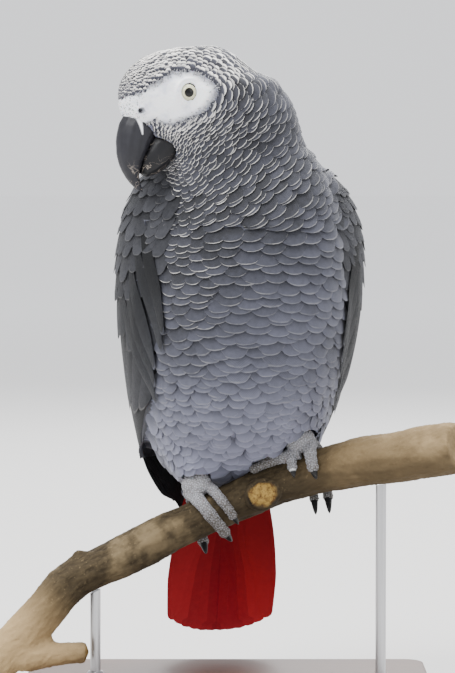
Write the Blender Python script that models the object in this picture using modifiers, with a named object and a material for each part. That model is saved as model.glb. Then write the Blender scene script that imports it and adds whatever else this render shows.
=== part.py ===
"""A life-size grey parrot on a short cut branch, held by a plain display stand.

Metres, +Z up. The chest faces -Y, the bird's left side is +X, and the origin is the centre
of the stand's underside. Head, neck, trunk and thighs are modelled as one body and parted by
thin cuts into head, neck and trunk. Wings, tail, legs, claws, bill and eyes are made apart,
and the body is cut back where they lie.
"""

import math

import bmesh
import bpy
from mathutils import Matrix, Vector

MM = 0.001
GAP = 0.35 * MM  # clearance between pieces that touch

# Placing of the bird. Sizes in millimetres from here on are multiplied by MM where used.
BODY_TURN = math.radians(10)  # the chest turns this far towards +X
BODY_SHIFT = 7.0  # the body axis stands this far along +X
HEAD_TURN = math.radians(-66)  # the head looks back over the right shoulder
HEAD_PITCH = math.radians(10)  # and this far down
EYE_MIDPOINT = (-25.6, -46.0, 304.6)  # halfway between the eyes

BODY = Matrix.Translation(Vector((BODY_SHIFT, 0, 0)) * MM) @ Matrix.Rotation(BODY_TURN, 4, "Z")
HEAD = (
    Matrix.Translation(Vector(EYE_MIDPOINT) * MM)
    @ Matrix.Rotation(HEAD_TURN, 4, "Z")
    @ Matrix.Rotation(HEAD_PITCH, 4, "X")
)

# Trunk stations: height, half width, front, widest line, back (body frame, front is -y).
TRUNK = (
    (276, 30, -59, -29, 2),
    (263, 38, -64, -26, 17),
    (246, 45.5, -68, -19, 31),
    (228, 50.5, -69, -12, 41),
    (202, 53, -64, -4, 47.5),
    (175, 52, -55, 5, 52.5),
    (152, 49, -43, 12, 56.5),
    (135, 46, -28, 20, 60),
    (122, 39.5, -11, 26, 61),
    (110, 28, 8, 34, 59),
    (100, 14, 24, 41, 55),
)
TRUNK_TOP = (0, -30, 283)
TRUNK_END = (-2, 45, 95)

# Neck stations in the world frame: centre x, y, z and the half sizes across and along the view.
NECK = (
    (7, -20, 242, 38, 40),
    (3, -26, 264, 36, 37),
    (2, -31, 282, 35, 34),
    (0.5, -35, 298, 32.5, 30),
    (-2.5, -37, 311, 27.5, 26),
)
NECK_TOP = (-6, -40, 322)
NECK_END = (8, -12, 228)

# Head stations in the head frame: y (front is negative), top, bottom, half width.
SKULL = (
    (-28.3, 6.0, -8, 6.5),
    (-25.2, 12.0, -14, 10),
    (-17.5, 18.0, -19, 14.2),
    (-8, 21.2, -30, 17.6),
    (3, 21.6, -37, 20.4),
    (14, 20.8, -38, 23),
    (26, 19, -36, 24),
    (36, 10.5, -31, 19),
)
SKULL_FRONT = (0, -29.6, 0)
SKULL_BACK = (0, 42, -8)

# Upper bill stations: culmen y, z, cutting edge y, z, half width (head frame).
BILL_UPPER = (
    (-25.2, -3.6, -11.0, -15.5, 8.0),
    (-30.6, -9.5, -15.5, -20.0, 8.0),
    (-33.9, -18.5, -20.0, -26.0, 7.2),
    (-34.4, -27.5, -23.2, -30.6, 5.8),
    (-32.0, -35.8, -25.6, -35.6, 3.7),
    (-28.6, -41.4, -25.4, -40.2, 1.9),
)
BILL_UPPER_ROOT = (0, -16, -9)
BILL_UPPER_TIP = (0, -24.4, -45.2)

# Lower bill stations: rim y, z, keel y, z, half width (head frame).
BILL_LOWER = (
    (-11.0, -16.5, -6.5, -29.5, 9.2),
    (-15.5, -17.5, -11.5, -34.6, 8.8),
    (-20.0, -22.0, -17.0, -36.8, 7.3),
    (-23.8, -27.5, -22.0, -37.2, 5.0),
)
BILL_LOWER_ROOT = (0, -4, -23)
BILL_LOWER_TIP = (0, -25.6, -34.2)

EYE_RADIUS = 5.6
EYE_SIDE = 14.6  # eyeball centre from the midline

# Folded wing stations in the body frame: height, half width, half depth, middle y, and the
# angles of the front and back edges about the middle, in degrees (0 is sideways, 90 is back).
WING = (
    (266, 40, 30, -20, -38, 40),
    (256, 51, 38, -16, -46, 52),
    (238, 59.5, 46, -10, -45, 62),
    (218, 62, 50, -5, -44, 68),
    (195, 61.5, 50, 2, -43, 72),
    (170, 58, 48, 9, -40, 76),
    (148, 53.5, 43, 18, -30, 79),
    (128, 48, 35, 30, -16, 81),
    (110, 41.5, 27, 42, 0, 82),
    (94, 31.5, 20, 54, 16, 82),
    (78, 23, 15, 64, 30, 82),
    (64, 17, 11.5, 72, 42, 80),
    (52, 11, 8, 79, 62, 84),
)
WING_THICK = 8.5
WING_CARRIAGE = {"left": (1, 2.0, 0.0), "right": (-1, 9.0, 4.0)}  # side, lift, outward

# Tail: a shallow vaulted fan of overlapping feathers, in the body frame.
TAIL_ROOT = (0.5, 46, 117)
TAIL_TIP = (3.3, 91, 20)
TAIL_HALF_ROOT = 21.0
TAIL_HALF_TIP = 26.0
TAIL_FEATHERS = 10
TAIL_VAULT = 7.0
TAIL_THICK = 3.0

# Perch: centre line x, y, z and radius.
PERCH = (
    (-118, -17, 20, 11.0),
    (-104, -16, 35, 10.4),
    (-92, -14, 47.5, 10.4),
    (-80, -12, 61, 10.7),
    (-66, -9, 68.4, 10.1),
    (-42, -4, 79.6, 10.9),
    (-12, 0, 94.2, 10.0),
    (8, 0, 103, 10.6),
    (26, 0, 111, 11.1),
    (54, -7, 119.5, 12.0),
    (83, -24, 126, 12.9),
    (113, -41, 132.5, 13.3),
)
PERCH_SIDES = 14

# Side stubs of the perch: start, end, radius at each.
STUBS = (
    ("cut knot", (16, -2, 105), (17.5, -14.5, 106.5), 7.8, 7.2),
    ("fork stub", (-101, -17, 25), (-69, -19, 28.6), 8.0, 5.0),
    ("bud", (-78, -12, 68), (-73.5, -13, 80.5), 4.4, 1.4),
)

# Feet: the place of each along X, and its toes about the perch. Arcs run from the top of the
# perch in degrees, positive over the front. Each toe: place along the perch where it starts
# and ends, arc, half thickness, the length of its claw and the claw's own curl in degrees.
LEGS = {
    "right": (
        -9.0,
        (
            ("front_outer", -4.0, 2.6, 118, 3.7, 13, 6),
            ("front_inner", 4.0, 8.5, 88, 3.4, 10, 26),
            ("rear_outer", -3.4, -7.5, -126, 3.5, 14, 12),
            ("rear_inner", 3.0, 4.5, -84, 3.1, 9, 48),
        ),
    ),
    "left": (
        42.0,
        (
            ("front_outer", 3.6, 4.2, 56, 3.7, 11, 48),
            ("front_inner", -4.6, -5.0, 44, 3.5, 10, 40),
            ("rear_outer", 3.6, 2.8, -126, 3.4, 17, 4),
            ("rear_inner", -3.4, -4.0, -124, 3.2, 16, 4),
        ),
    ),
}
SHANK_TOP = (0, 13, 26)  # from the perch's axis at the foot to the hock: side, back, up

# Thigh feathering in the body frame: centre and half sizes.
THIGH = ((22, 8, 129), (15, 19, 19))

BASE_LENGTH = 204.0
BASE_WIDTH = 132.0
BASE_THICK = 12.0
BASE_CORNER = 10.0
ROD_RADIUS = 2.6
ROD_LEFT_X = 76.0
ROD_RIGHT_X = -66.0

COLOURS = {
    "grey_coat": ((0.17, 0.18, 0.20, 1), 0.75, 0.0),
    "flight_grey": ((0.06, 0.065, 0.075, 1), 0.6, 0.0),
    "red_tail": ((0.42, 0.012, 0.018, 1), 0.6, 0.0),
    "horn_black": ((0.02, 0.02, 0.022, 1), 0.35, 0.0),
    "foot_skin": ((0.20, 0.20, 0.20, 1), 0.7, 0.0),
    "eye": ((0.62, 0.58, 0.38, 1), 0.1, 0.0),
    "bark": ((0.22, 0.16, 0.10, 1), 0.85, 0.0),
    "stand_wood": ((0.10, 0.055, 0.03, 1), 0.5, 0.0),
    "stand_steel": ((0.55, 0.55, 0.56, 1), 0.3, 1.0),
}


# ---------------------------------------------------------------- general tools


def clear_scene():
    for obj in list(bpy.data.objects):
        bpy.data.objects.remove(obj)


def make_material(name):
    colour, roughness, metallic = COLOURS[name]
    material = bpy.data.materials.new(name)
    material.use_nodes = True
    shader = material.node_tree.nodes["Principled BSDF"]
    shader.inputs["Base Color"].default_value = colour
    shader.inputs["Roughness"].default_value = roughness
    shader.inputs["Metallic"].default_value = metallic
    return material


def new_collection(name):
    collection = bpy.data.collections.new(name)
    bpy.context.scene.collection.children.link(collection)
    return collection


def add_object(name, mesh, collection):
    obj = bpy.data.objects.new(name, mesh)
    collection.objects.link(obj)
    return obj


def finish_mesh(name, bm):
    """A mesh in triangles, so that a piece and its cutter bend along the same lines."""
    bmesh.ops.triangulate(bm, faces=bm.faces[:])
    bmesh.ops.recalc_face_normals(bm, faces=bm.faces)
    mesh = bpy.data.meshes.new(name)
    bm.to_mesh(mesh)
    bm.free()
    return mesh


def evaluated(mesh, add_modifiers):
    """The mesh after the modifiers that add_modifiers puts on a passing object."""
    obj = add_object("passing", mesh, bpy.context.scene.collection)
    add_modifiers(obj)
    bpy.context.view_layer.update()
    graph = bpy.context.evaluated_depsgraph_get()
    made = bpy.data.meshes.new_from_object(obj.evaluated_get(graph))
    bpy.data.objects.remove(obj)
    bm = bmesh.new()
    bm.from_mesh(made)
    return finish_mesh(mesh.name, bm)


def stations(rows, spans):
    """Rows of numbers read from a smooth curve through the given rows."""
    ends = [rows[0], *rows, rows[-1]]
    made = []
    for before, here, after, later in zip(ends, ends[1:], ends[2:], ends[3:]):
        for step in range(spans):
            t = step / spans
            made.append(
                [
                    0.5 * (2 * b + (c - a) * t + (2 * a - 5 * b + 4 * c - d) * t * t
                           + (3 * b - a - 3 * c + d) * t ** 3)
                    for a, b, c, d in zip(before, here, after, later)
                ]
            )
    made.append(list(rows[-1]))
    return made


def loft(name, rings, first_tip, last_tip):
    """A closed skin over rings of equal count, drawn to a point at each end."""
    bm = bmesh.new()
    loops = [[bm.verts.new(point) for point in ring] for ring in rings]
    count = len(rings[0])
    for low, high in zip(loops, loops[1:]):
        for i in range(count):
            j = (i + 1) % count
            bm.faces.new((low[i], low[j], high[j], high[i]))
    for tip, loop in ((first_tip, loops[0]), (last_tip, loops[-1])):
        pole = bm.verts.new(tip)
        for i in range(count):
            bm.faces.new((loop[i], loop[(i + 1) % count], pole))
    return finish_mesh(name, bm)


def shell(name, outer, inner):
    """A closed sheet between two grids of points that face each other."""
    bm = bmesh.new()
    grids = [[[bm.verts.new(point) for point in line] for line in grid] for grid in (outer, inner)]
    for grid in grids:
        for low, high in zip(grid, grid[1:]):
            for a, b, c, d in zip(low, low[1:], high[1:], high):
                bm.faces.new((a, b, c, d))
    rims = []
    for grid in grids:
        right = [line[-1] for line in grid[1:-1]]
        left = [line[0] for line in grid[1:-1]]
        rims.append(grid[0] + right + grid[-1][::-1] + left[::-1])
    first, second = rims
    for i in range(len(first)):
        bm.faces.new((first[i - 1], first[i], second[i], second[i - 1]))
    return finish_mesh(name, bm)


def rounded(angle, power):
    """Cosine and sine of a superellipse."""
    c, s = math.cos(angle), math.sin(angle)
    return (math.copysign(abs(c) ** (2 / power), c), math.copysign(abs(s) ** (2 / power), s))


def section(centre, across, along, half_across, half_along, count, power=2.0):
    """A ring about centre with its two half sizes along two directions."""
    ring = []
    for i in range(count):
        c, s = rounded(2 * math.pi * i / count, power)
        ring.append(centre + across * (half_across * c) + along * (half_along * s))
    return ring


def joined(name, meshes):
    bm = bmesh.new()
    for mesh in meshes:
        bm.from_mesh(mesh)
    return finish_mesh(name, bm)


def fused(name, meshes, voxel, smoothing, keep):
    """Overlapping closed meshes melted into one smooth body, thinned to a share of its faces."""

    def modifiers(obj):
        remesh = obj.modifiers.new("melt", "REMESH")
        remesh.mode = "VOXEL"
        remesh.voxel_size = voxel
        smooth = obj.modifiers.new("smooth", "SMOOTH")
        smooth.factor = 0.5
        smooth.iterations = smoothing
        if keep < 1:
            thin = obj.modifiers.new("thin", "DECIMATE")
            thin.ratio = keep

    return evaluated(joined(name, meshes), modifiers)


def grown(mesh, amount=GAP):
    """A copy pushed out along its normals, for cutting with clearance."""

    def modifiers(obj):
        push = obj.modifiers.new("push", "DISPLACE")
        push.strength = amount
        push.mid_level = 0.0

    return evaluated(mesh.copy(), modifiers)


def cut(mesh, cutters):
    """The mesh with the cutter meshes taken away; the cutters may overlap each other."""
    helper = add_object("cutter", joined("cutter", cutters), bpy.context.scene.collection)

    def modifiers(obj):
        boolean = obj.modifiers.new("boolean", "BOOLEAN")
        boolean.operation = "DIFFERENCE"
        boolean.object = helper
        boolean.use_self = True

    made = evaluated(mesh, modifiers)
    bpy.data.objects.remove(helper)
    return made


def largest_part(mesh):
    """Drops every loose shell but the one with the most faces."""
    bm = bmesh.new()
    bm.from_mesh(mesh)
    left = set(bm.faces)
    shells = []
    while left:
        stack = [left.pop()]
        shell = set(stack)
        while stack:
            for edge in stack.pop().edges:
                for face in edge.link_faces:
                    if face in left:
                        left.remove(face)
                        shell.add(face)
                        stack.append(face)
        shells.append(shell)
    shells.sort(key=len)
    for shell in shells[:-1]:
        bmesh.ops.delete(bm, geom=list(shell), context="FACES")
    loose = [v for v in bm.verts if not v.link_faces]
    bmesh.ops.delete(bm, geom=loose, context="VERTS")
    return finish_mesh(mesh.name, bm)


def thinned(mesh, degrees=0.7):
    """The mesh with its nearly flat neighbours merged, in triangles again."""
    bm = bmesh.new()
    bm.from_mesh(mesh)
    bmesh.ops.dissolve_limit(
        bm, angle_limit=math.radians(degrees), verts=bm.verts[:], edges=bm.edges[:]
    )
    return finish_mesh(mesh.name, bm)


def half(mesh, point, normal):
    """The side of the mesh that the normal points to, closed where the plane cut it."""
    bm = bmesh.new()
    bm.from_mesh(mesh)
    cut_geometry = bmesh.ops.bisect_plane(
        bm,
        geom=bm.verts[:] + bm.edges[:] + bm.faces[:],
        dist=1e-7,
        plane_co=point,
        plane_no=normal,
        clear_inner=True,
    )["geom_cut"]
    edges = [g for g in cut_geometry if isinstance(g, bmesh.types.BMEdge)]
    bmesh.ops.holes_fill(bm, edges=edges)
    return finish_mesh(mesh.name, bm)


def parted(mesh, point, normal):
    """The mesh in two, with half the clearance taken from each side of the plane."""
    normal = normal.normalized()
    back = -normal
    return half(mesh, point + normal * GAP / 2, normal), half(mesh, point + back * GAP / 2, back)


# ---------------------------------------------------------------- perch and stand


def perch_rows():
    return stations(PERCH, 3)


def perch_at(x):
    """The perch's centre, direction and radius at a place along X."""
    rows = perch_rows()
    for before, after in zip(rows, rows[1:]):
        if before[0] <= x <= after[0]:
            t = (x - before[0]) / (after[0] - before[0])
            a, b = Vector(before[:3]), Vector(after[:3])
            radius = before[3] + (after[3] - before[3]) * t
            return a.lerp(b, t) * MM, (b - a).normalized(), radius * MM
    raise ValueError("the place is not on the perch")


def tube(name, rows, sides, end_cut=0.02):
    """A bent round bar through rows of centre and radius, with nearly flat ends."""
    points = [Vector(row[:3]) * MM for row in rows]
    rings = []
    up = Vector((0, 0, 1))
    for i, point in enumerate(points):
        along = (points[min(i + 1, len(points) - 1)] - points[max(i - 1, 0)]).normalized()
        side = along.cross(up)
        if side.length < 0.1:
            side = along.cross(Vector((1, 0, 0)))
        side.normalize()
        rings.append(
            section(point, side, side.cross(along), rows[i][3] * MM, rows[i][3] * MM, sides)
        )
    first = points[0] + (points[0] - points[1]) * end_cut
    last = points[-1] + (points[-1] - points[-2]) * end_cut
    return loft(name, rings, first, last)


def perch_mesh():
    pieces = [tube("perch", perch_rows(), PERCH_SIDES)]
    for name, start, end, wide, narrow in STUBS:
        pieces.append(tube(name, stations(((*start, wide), (*end, narrow)), 3), 10))
    return fused("perch", pieces, 2.6 * MM, 2, 0.085)


def base_mesh():
    bm = bmesh.new()
    size = Matrix.Diagonal((BASE_LENGTH * MM, BASE_WIDTH * MM, BASE_THICK * MM, 1))
    middle = Matrix.Translation((0, 0, BASE_THICK * MM / 2))
    bmesh.ops.create_cube(bm, size=1.0, matrix=middle @ size)
    uprights = [e for e in bm.edges if abs(e.verts[0].co.z - e.verts[1].co.z) > BASE_THICK * MM / 2]
    bmesh.ops.bevel(
        bm, geom=uprights, offset=BASE_CORNER * MM, segments=5, profile=0.5,
        affect="EDGES", material=-1,
    )
    rim = [e for e in bm.edges if all(v.co.z > BASE_THICK * MM * 0.9 for v in e.verts)]
    rim = [e for e in rim if len({f.normal.z > 0.5 for f in e.link_faces}) == 2]
    bmesh.ops.bevel(
        bm, geom=rim, offset=1.5 * MM, segments=2, profile=0.5, affect="EDGES", material=-1,
    )
    return finish_mesh("stand_base", bm)


def rod_mesh(x):
    """A straight rod from the base up into the perch's underside."""
    centre, _, radius = perch_at(x)
    low, high = BASE_THICK * MM + GAP, centre.z - radius * 0.4
    bm = bmesh.new()
    bmesh.ops.create_cone(
        bm, cap_ends=True, segments=20, radius1=ROD_RADIUS * MM, radius2=ROD_RADIUS * MM,
        depth=high - low,
        matrix=Matrix.Translation((centre.x, centre.y, (low + high) / 2)),
    )
    return finish_mesh("rod", bm)


# ---------------------------------------------------------------- flesh and coat


def trunk_mesh():
    rings = []
    for height, wide, front, middle, back in stations(TRUNK, 2):
        ring = []
        for i in range(28):
            c, s = rounded(2 * math.pi * i / 28, 2.2)
            reach = (back - middle) if s > 0 else (middle - front)
            ring.append(BODY @ (Vector((wide * c, middle + reach * s, height)) * MM))
        rings.append(ring)
    return loft("trunk", rings, BODY @ (Vector(TRUNK_TOP) * MM), BODY @ (Vector(TRUNK_END) * MM))


def neck_mesh():
    across, along = Vector((1, 0, 0)), Vector((0, 1, 0))
    rings = [
        section(Vector((x, y, z)) * MM, across, along, wide * MM, deep * MM, 24)
        for x, y, z, wide, deep in stations(NECK, 2)
    ]
    return loft("neck", rings, Vector(NECK_END) * MM, Vector(NECK_TOP) * MM)


def skull_mesh():
    across, up = Vector((1, 0, 0)), Vector((0, 0, 1))
    rings = []
    for y, top, bottom, wide in stations(SKULL, 2):
        centre = Vector((0, y, (top + bottom) / 2)) * MM
        ring = section(centre, across, up, wide * MM, (top - bottom) / 2 * MM, 24, 2.15)
        rings.append([HEAD @ point for point in ring])
    return loft("skull", rings, HEAD @ (Vector(SKULL_FRONT) * MM), HEAD @ (Vector(SKULL_BACK) * MM))


def bill_mesh(name, rows, root, tip, power):
    """A bill half drawn from an upper line and a lower line that face each other."""
    across = Vector((1, 0, 0))
    rings = []
    for y1, z1, y2, z2, wide in stations(rows, 2):
        upper, lower = Vector((0, y1, z1)) * MM, Vector((0, y2, z2)) * MM
        ring = section(
            (upper + lower) / 2, across, (upper - lower).normalized(),
            wide * MM, (upper - lower).length / 2, 12, power,
        )
        rings.append([HEAD @ point for point in ring])
    return loft(name, rings, HEAD @ (Vector(root) * MM), HEAD @ (Vector(tip) * MM))


def eye_mesh(side):
    bm = bmesh.new()
    place = HEAD @ Matrix.Translation(Vector((side * EYE_SIDE, 0, 0)) * MM)
    bmesh.ops.create_icosphere(bm, subdivisions=2, radius=EYE_RADIUS * MM, matrix=place)
    return finish_mesh("eye", bm)


def thigh_mesh(side):
    (x, y, z), half_sizes = THIGH
    bm = bmesh.new()
    size = Matrix.Diagonal((*(Vector(half_sizes) * MM), 1))
    place = BODY @ Matrix.Translation(Vector((side * x, y, z + side * 3)) * MM)
    bmesh.ops.create_icosphere(bm, subdivisions=3, radius=1.0, matrix=place @ size)
    return finish_mesh("thigh", bm)


# ---------------------------------------------------------------- wings and tail


def wing_mesh(side, lift, outward):
    """The folded wing as a curved shell that wraps the side of the body.

    Its outer face steps a little at each flight feather, and it thins towards the tips.
    """
    rows = stations(WING, 2)
    columns = 7
    outer, inner = [], []
    for n, (height, wide, deep, middle, front, back) in enumerate(rows):
        share = n / (len(rows) - 1)
        height += lift * (1 - share) ** 2
        wide += outward * (1 - share)
        line, under = [], []
        for i in range(columns + 1):
            across = i / columns
            angle = math.radians(front + (back - front) * across)
            edge = math.sin(math.pi * across) ** 0.6
            ends = 1 - 0.6 * (1 - min(1, share * 8))
            thick = WING_THICK * (1 - 0.62 * share) * (0.18 + 0.82 * edge) * ends
            step = 1.1 * share * ((across * 6) % 1)
            for points, depth in ((line, step), (under, thick)):
                x = side * math.cos(angle) * (wide - depth)
                y = middle + math.sin(angle) * (deep - depth)
                points.append(BODY @ (Vector((x, y, height)) * MM))
        outer.append(line)
        inner.append(under)
    return shell("wing", outer, inner)


def tail_mesh():
    """A closed fan: each feather a shallow ridge, its tip rounded, the outer ones shorter."""
    root, tip = Vector(TAIL_ROOT), Vector(TAIL_TIP)
    along = tip - root
    out = Vector((0, -along.z, along.y)).normalized()
    columns = TAIL_FEATHERS * 2
    rows = 6
    outer, inner = [], []
    for j in range(rows + 1):
        line, under = [], []
        for i in range(columns + 1):
            u = 2 * i / columns - 1
            within = i % 2  # 1 on a feather's middle line, 0 on its edges
            v = j / rows * (0.98 - 0.12 * abs(u) ** 2.2 + 0.02 * within)
            wide = TAIL_HALF_ROOT + (TAIL_HALF_TIP - TAIL_HALF_ROOT) * min(1, v * 1.6) ** 0.7
            wide *= 1 - 0.22 * max(0, v - 0.72) / 0.28 * abs(u)
            vault = TAIL_VAULT * (1 - u * u) * (1 - 0.4 * v)
            thick = TAIL_THICK * (1 - 0.55 * v) * (1 - 0.5 * abs(u))
            point = root + along * v + Vector((wide * u, 0, 0)) + out * (vault + 0.5 * within)
            line.append(BODY @ (point * MM))
            under.append(BODY @ ((point - out * thick) * MM))
        outer.append(line)
        inner.append(under)
    return shell("tail", outer, inner)


# ---------------------------------------------------------------- feet


def foot_frame(x):
    """Centre, direction, front, up and radius of the perch under a foot."""
    centre, along, radius = perch_at(x)
    front = Vector((0, -1, 0))
    front = (front - along * front.dot(along)).normalized()
    up = front.cross(along)
    if up.z < 0:
        up = -up
    return centre, along, front, up, radius


def toe_spot(frame, slide, ride, angle):
    """A point near the perch: so far along it, from its axis, and round it."""
    centre, along, front, up, _ = frame
    return centre + along * slide + (up * math.cos(angle) + front * math.sin(angle)) * ride


def toe_mesh(frame, start, end, arc, thick):
    """A toe that curls round the perch, with low swellings at its joints."""
    ride = frame[4] + (thick + 0.2) * MM
    rows = []
    steps = 8
    for i in range(steps + 1):
        t = i / steps
        spot = toe_spot(frame, (start + (end - start) * t) * MM, ride, math.radians(arc * t))
        width = thick * (1.05 - 0.18 * t) * (1 + 0.07 * math.cos(t * 6 * math.pi))
        rows.append((*(spot / MM), width))
    return tube("toe", rows, 10, 0.5)


def claw_mesh(frame, start, end, arc, thick, length, curl):
    """A claw that leaves the toe's end along its curl and bends a little less than the toe."""
    centre, along, front, up, radius = frame
    angle = math.radians(arc)
    bend = math.copysign(1, arc)
    spot = toe_spot(frame, end * MM, radius + thick * MM, angle)
    ahead = (front * math.cos(angle) - up * math.sin(angle)) * bend
    ahead = (ahead + along * (end - start) * 0.03).normalized()
    inward = -(up * math.cos(angle) + front * math.sin(angle))
    rows = []
    steps = 5
    for i in range(steps + 1):
        t = i / steps
        rows.append((*(spot / MM), thick * 0.78 * (1 - t) ** 0.75 + 0.35))
        turn = math.radians(curl) * t
        spot = spot + (ahead * math.cos(turn) + inward * math.sin(turn)) * (length / steps * MM)
    return tube("claw", rows, 7)


def leg_mesh(frame, toes):
    centre, along, front, up, radius = frame
    pieces = [toe_mesh(frame, *toe[1:5]) for toe in toes]
    ankle = centre + up * (radius + 5.0 * MM)
    top = centre + Vector(SHANK_TOP) * MM
    pieces.append(tube("shank", stations(((*(ankle / MM), 4.6), (*(top / MM), 4.4)), 3), 10))
    bm = bmesh.new()
    size = Matrix.Diagonal((7.2 * MM, 6.8 * MM, 6.4 * MM, 1))
    pad = Matrix.Translation(ankle + up * 1.0 * MM + front * 2.0 * MM) @ size
    bmesh.ops.create_icosphere(bm, subdivisions=2, radius=1.0, matrix=pad)
    pieces.append(finish_mesh("pad", bm))
    return fused("leg", pieces, 1.0 * MM, 2, 0.055)


# ---------------------------------------------------------------- the whole bird


def build():
    clear_scene()
    parrot = new_collection("grey_parrot")
    materials = {name: make_material(name) for name in COLOURS}

    def add(name, mesh, material):
        obj = add_object(name, mesh, parrot)
        mesh.materials.clear()
        mesh.materials.append(materials[material])
        mesh.shade_smooth()
        mesh.set_sharp_from_angle(angle=math.radians(50))
        return obj

    perch = perch_mesh()
    perch_cutter = grown(perch)
    add("perch_branch", perch, "bark")
    add("stand_base", base_mesh(), "stand_wood")
    for side, x in (("left", ROD_LEFT_X), ("right", ROD_RIGHT_X)):
        add(f"stand_rod_{side}", cut(rod_mesh(x), [perch_cutter]), "stand_steel")

    tail = tail_mesh()
    add("tail", tail, "red_tail")
    flesh_cutters = [perch_cutter, grown(tail)]
    for side, carriage in WING_CARRIAGE.items():
        wing = largest_part(cut(wing_mesh(*carriage), [grown(tail)]))
        add(f"wing_{side}", wing, "flight_grey")
        x, toes = LEGS[side]
        frame = foot_frame(x)
        claws = [
            (name, cut(claw_mesh(frame, *toe), [perch_cutter])) for name, *toe in toes
        ]
        leg = cut(leg_mesh(frame, toes), [perch_cutter] + [grown(c) for _, c in claws])
        leg = thinned(largest_part(leg))
        add(f"leg_{side}", leg, "foot_skin")
        for name, claw in claws:
            add(f"claw_{side}_{name}", claw, "horn_black")
        flesh_cutters += [grown(wing), grown(leg)]

    eyes = {"left": eye_mesh(1), "right": eye_mesh(-1)}
    upper = bill_mesh("bill_upper", BILL_UPPER, BILL_UPPER_ROOT, BILL_UPPER_TIP, 2.0)
    lower = bill_mesh("bill_lower", BILL_LOWER, BILL_LOWER_ROOT, BILL_LOWER_TIP, 2.3)
    lower = largest_part(cut(lower, [grown(upper)]))
    add("bill_upper", upper, "horn_black")
    add("bill_lower", lower, "horn_black")
    for side, mesh in eyes.items():
        add(f"eye_{side}", mesh, "eye")

    pieces = [trunk_mesh(), neck_mesh(), skull_mesh(), thigh_mesh(1), thigh_mesh(-1)]
    flesh = cut(fused("flesh", pieces, 3.2 * MM, 6, 0.071), flesh_cutters)
    head_point = HEAD @ (Vector((0, 0, -40)) * MM)
    head_normal = HEAD.to_3x3() @ Vector((0, -0.45, 0.89))
    head, rest = parted(flesh, head_point, head_normal)
    neck_point = BODY @ (Vector((0, -20, 259)) * MM)
    neck_normal = BODY.to_3x3() @ Vector((0, -0.36, 0.93))
    neck, trunk = parted(rest, neck_point, neck_normal)
    head = cut(head, [grown(eyes["left"]), grown(eyes["right"]), grown(upper), grown(lower)])
    for name, mesh in (("head", head), ("neck", neck), ("trunk", trunk)):
        add(name, thinned(largest_part(mesh)), "grey_coat")


build()
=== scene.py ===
"""A life-size grey parrot on a cut branch: skin, feathers, horn, eyes, bark and its stand.

The solid model gives every place and size. One skin lies inside it by the depth of the coat,
and the feathers are vanes of solid mesh laid in rows along the lie of the coat, so that their
tips reach the solid model's surface. Metres, +Z up; the bird's left side is +X.
"""

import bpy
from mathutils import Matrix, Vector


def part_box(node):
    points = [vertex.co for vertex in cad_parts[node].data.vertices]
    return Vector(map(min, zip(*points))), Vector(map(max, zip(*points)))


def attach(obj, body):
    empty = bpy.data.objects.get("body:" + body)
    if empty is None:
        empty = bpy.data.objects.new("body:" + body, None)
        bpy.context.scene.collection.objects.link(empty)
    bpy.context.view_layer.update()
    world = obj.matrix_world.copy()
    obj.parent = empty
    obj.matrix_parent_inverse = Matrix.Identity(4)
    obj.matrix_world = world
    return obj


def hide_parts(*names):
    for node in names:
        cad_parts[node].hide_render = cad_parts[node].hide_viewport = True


bl_info = {
    "name": "Grey Parrot on a Perch",
    "version": (1, 0, 0),
    "blender": (4, 5, 0),
    "location": "3D Viewport > Sidebar > Parrot",
    "description": "Dresses the solid model of a perched grey parrot in skin, feathers and bark",
    "category": "Object",
}

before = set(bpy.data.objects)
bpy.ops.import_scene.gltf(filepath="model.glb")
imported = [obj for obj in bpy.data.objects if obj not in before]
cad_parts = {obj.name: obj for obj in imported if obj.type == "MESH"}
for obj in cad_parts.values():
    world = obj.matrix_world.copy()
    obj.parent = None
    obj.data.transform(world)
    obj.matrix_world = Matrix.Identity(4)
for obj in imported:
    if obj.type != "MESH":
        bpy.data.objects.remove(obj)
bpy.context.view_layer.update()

import heapq
import math
from functools import lru_cache

import bmesh
import bpy
import numpy as np
from bpy.props import FloatProperty, FloatVectorProperty, IntProperty, PointerProperty
from mathutils import Matrix, Vector, noise
from mathutils.bvhtree import BVHTree
from mathutils.kdtree import KDTree

MM = 0.001
SIDES = {"left": 1, "right": -1}

# The body's own frame is turned and shifted on the stand.
BODY = Matrix.Translation((7 * MM, 0, 0)) @ Matrix.Rotation(math.radians(10), 4, "Z")
HEAD_PITCH = math.radians(10)  # the bill points down by this much
HEAD_SPAN = 60  # nothing of the face lies further than this from the head's middle, in mm

# Heights and depths of the line that the folded wings close round, in the body frame, in mm.
WING_LINE = ((276, -22), (256, -16), (218, -5), (170, 9), (128, 30), (94, 54), (64, 72), (50, 80))

# Height in the body frame at which the lie of the coat turns down the body, in mm.
NECK_RING = 244

# The form takes in wings and tail down to these heights only, in mm.
FORM_FLOORS = {"wing_left": 118, "wing_right": 118, "tail": 96}
FORM_GROWTH = 0.25 * MM  # makes up for what the smoothing of the form takes off
BILL_GAP = 1.3 * MM  # skin nearer to the bill than this is where its rows of feathers start

# Nodes that the form is made of, in groups, and the places of the first two groups.
OWNERS = (("head", "neck", "trunk"), ("wing_left", "wing_right"), ("tail",))
FLESH, WING = 0, 1

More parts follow.
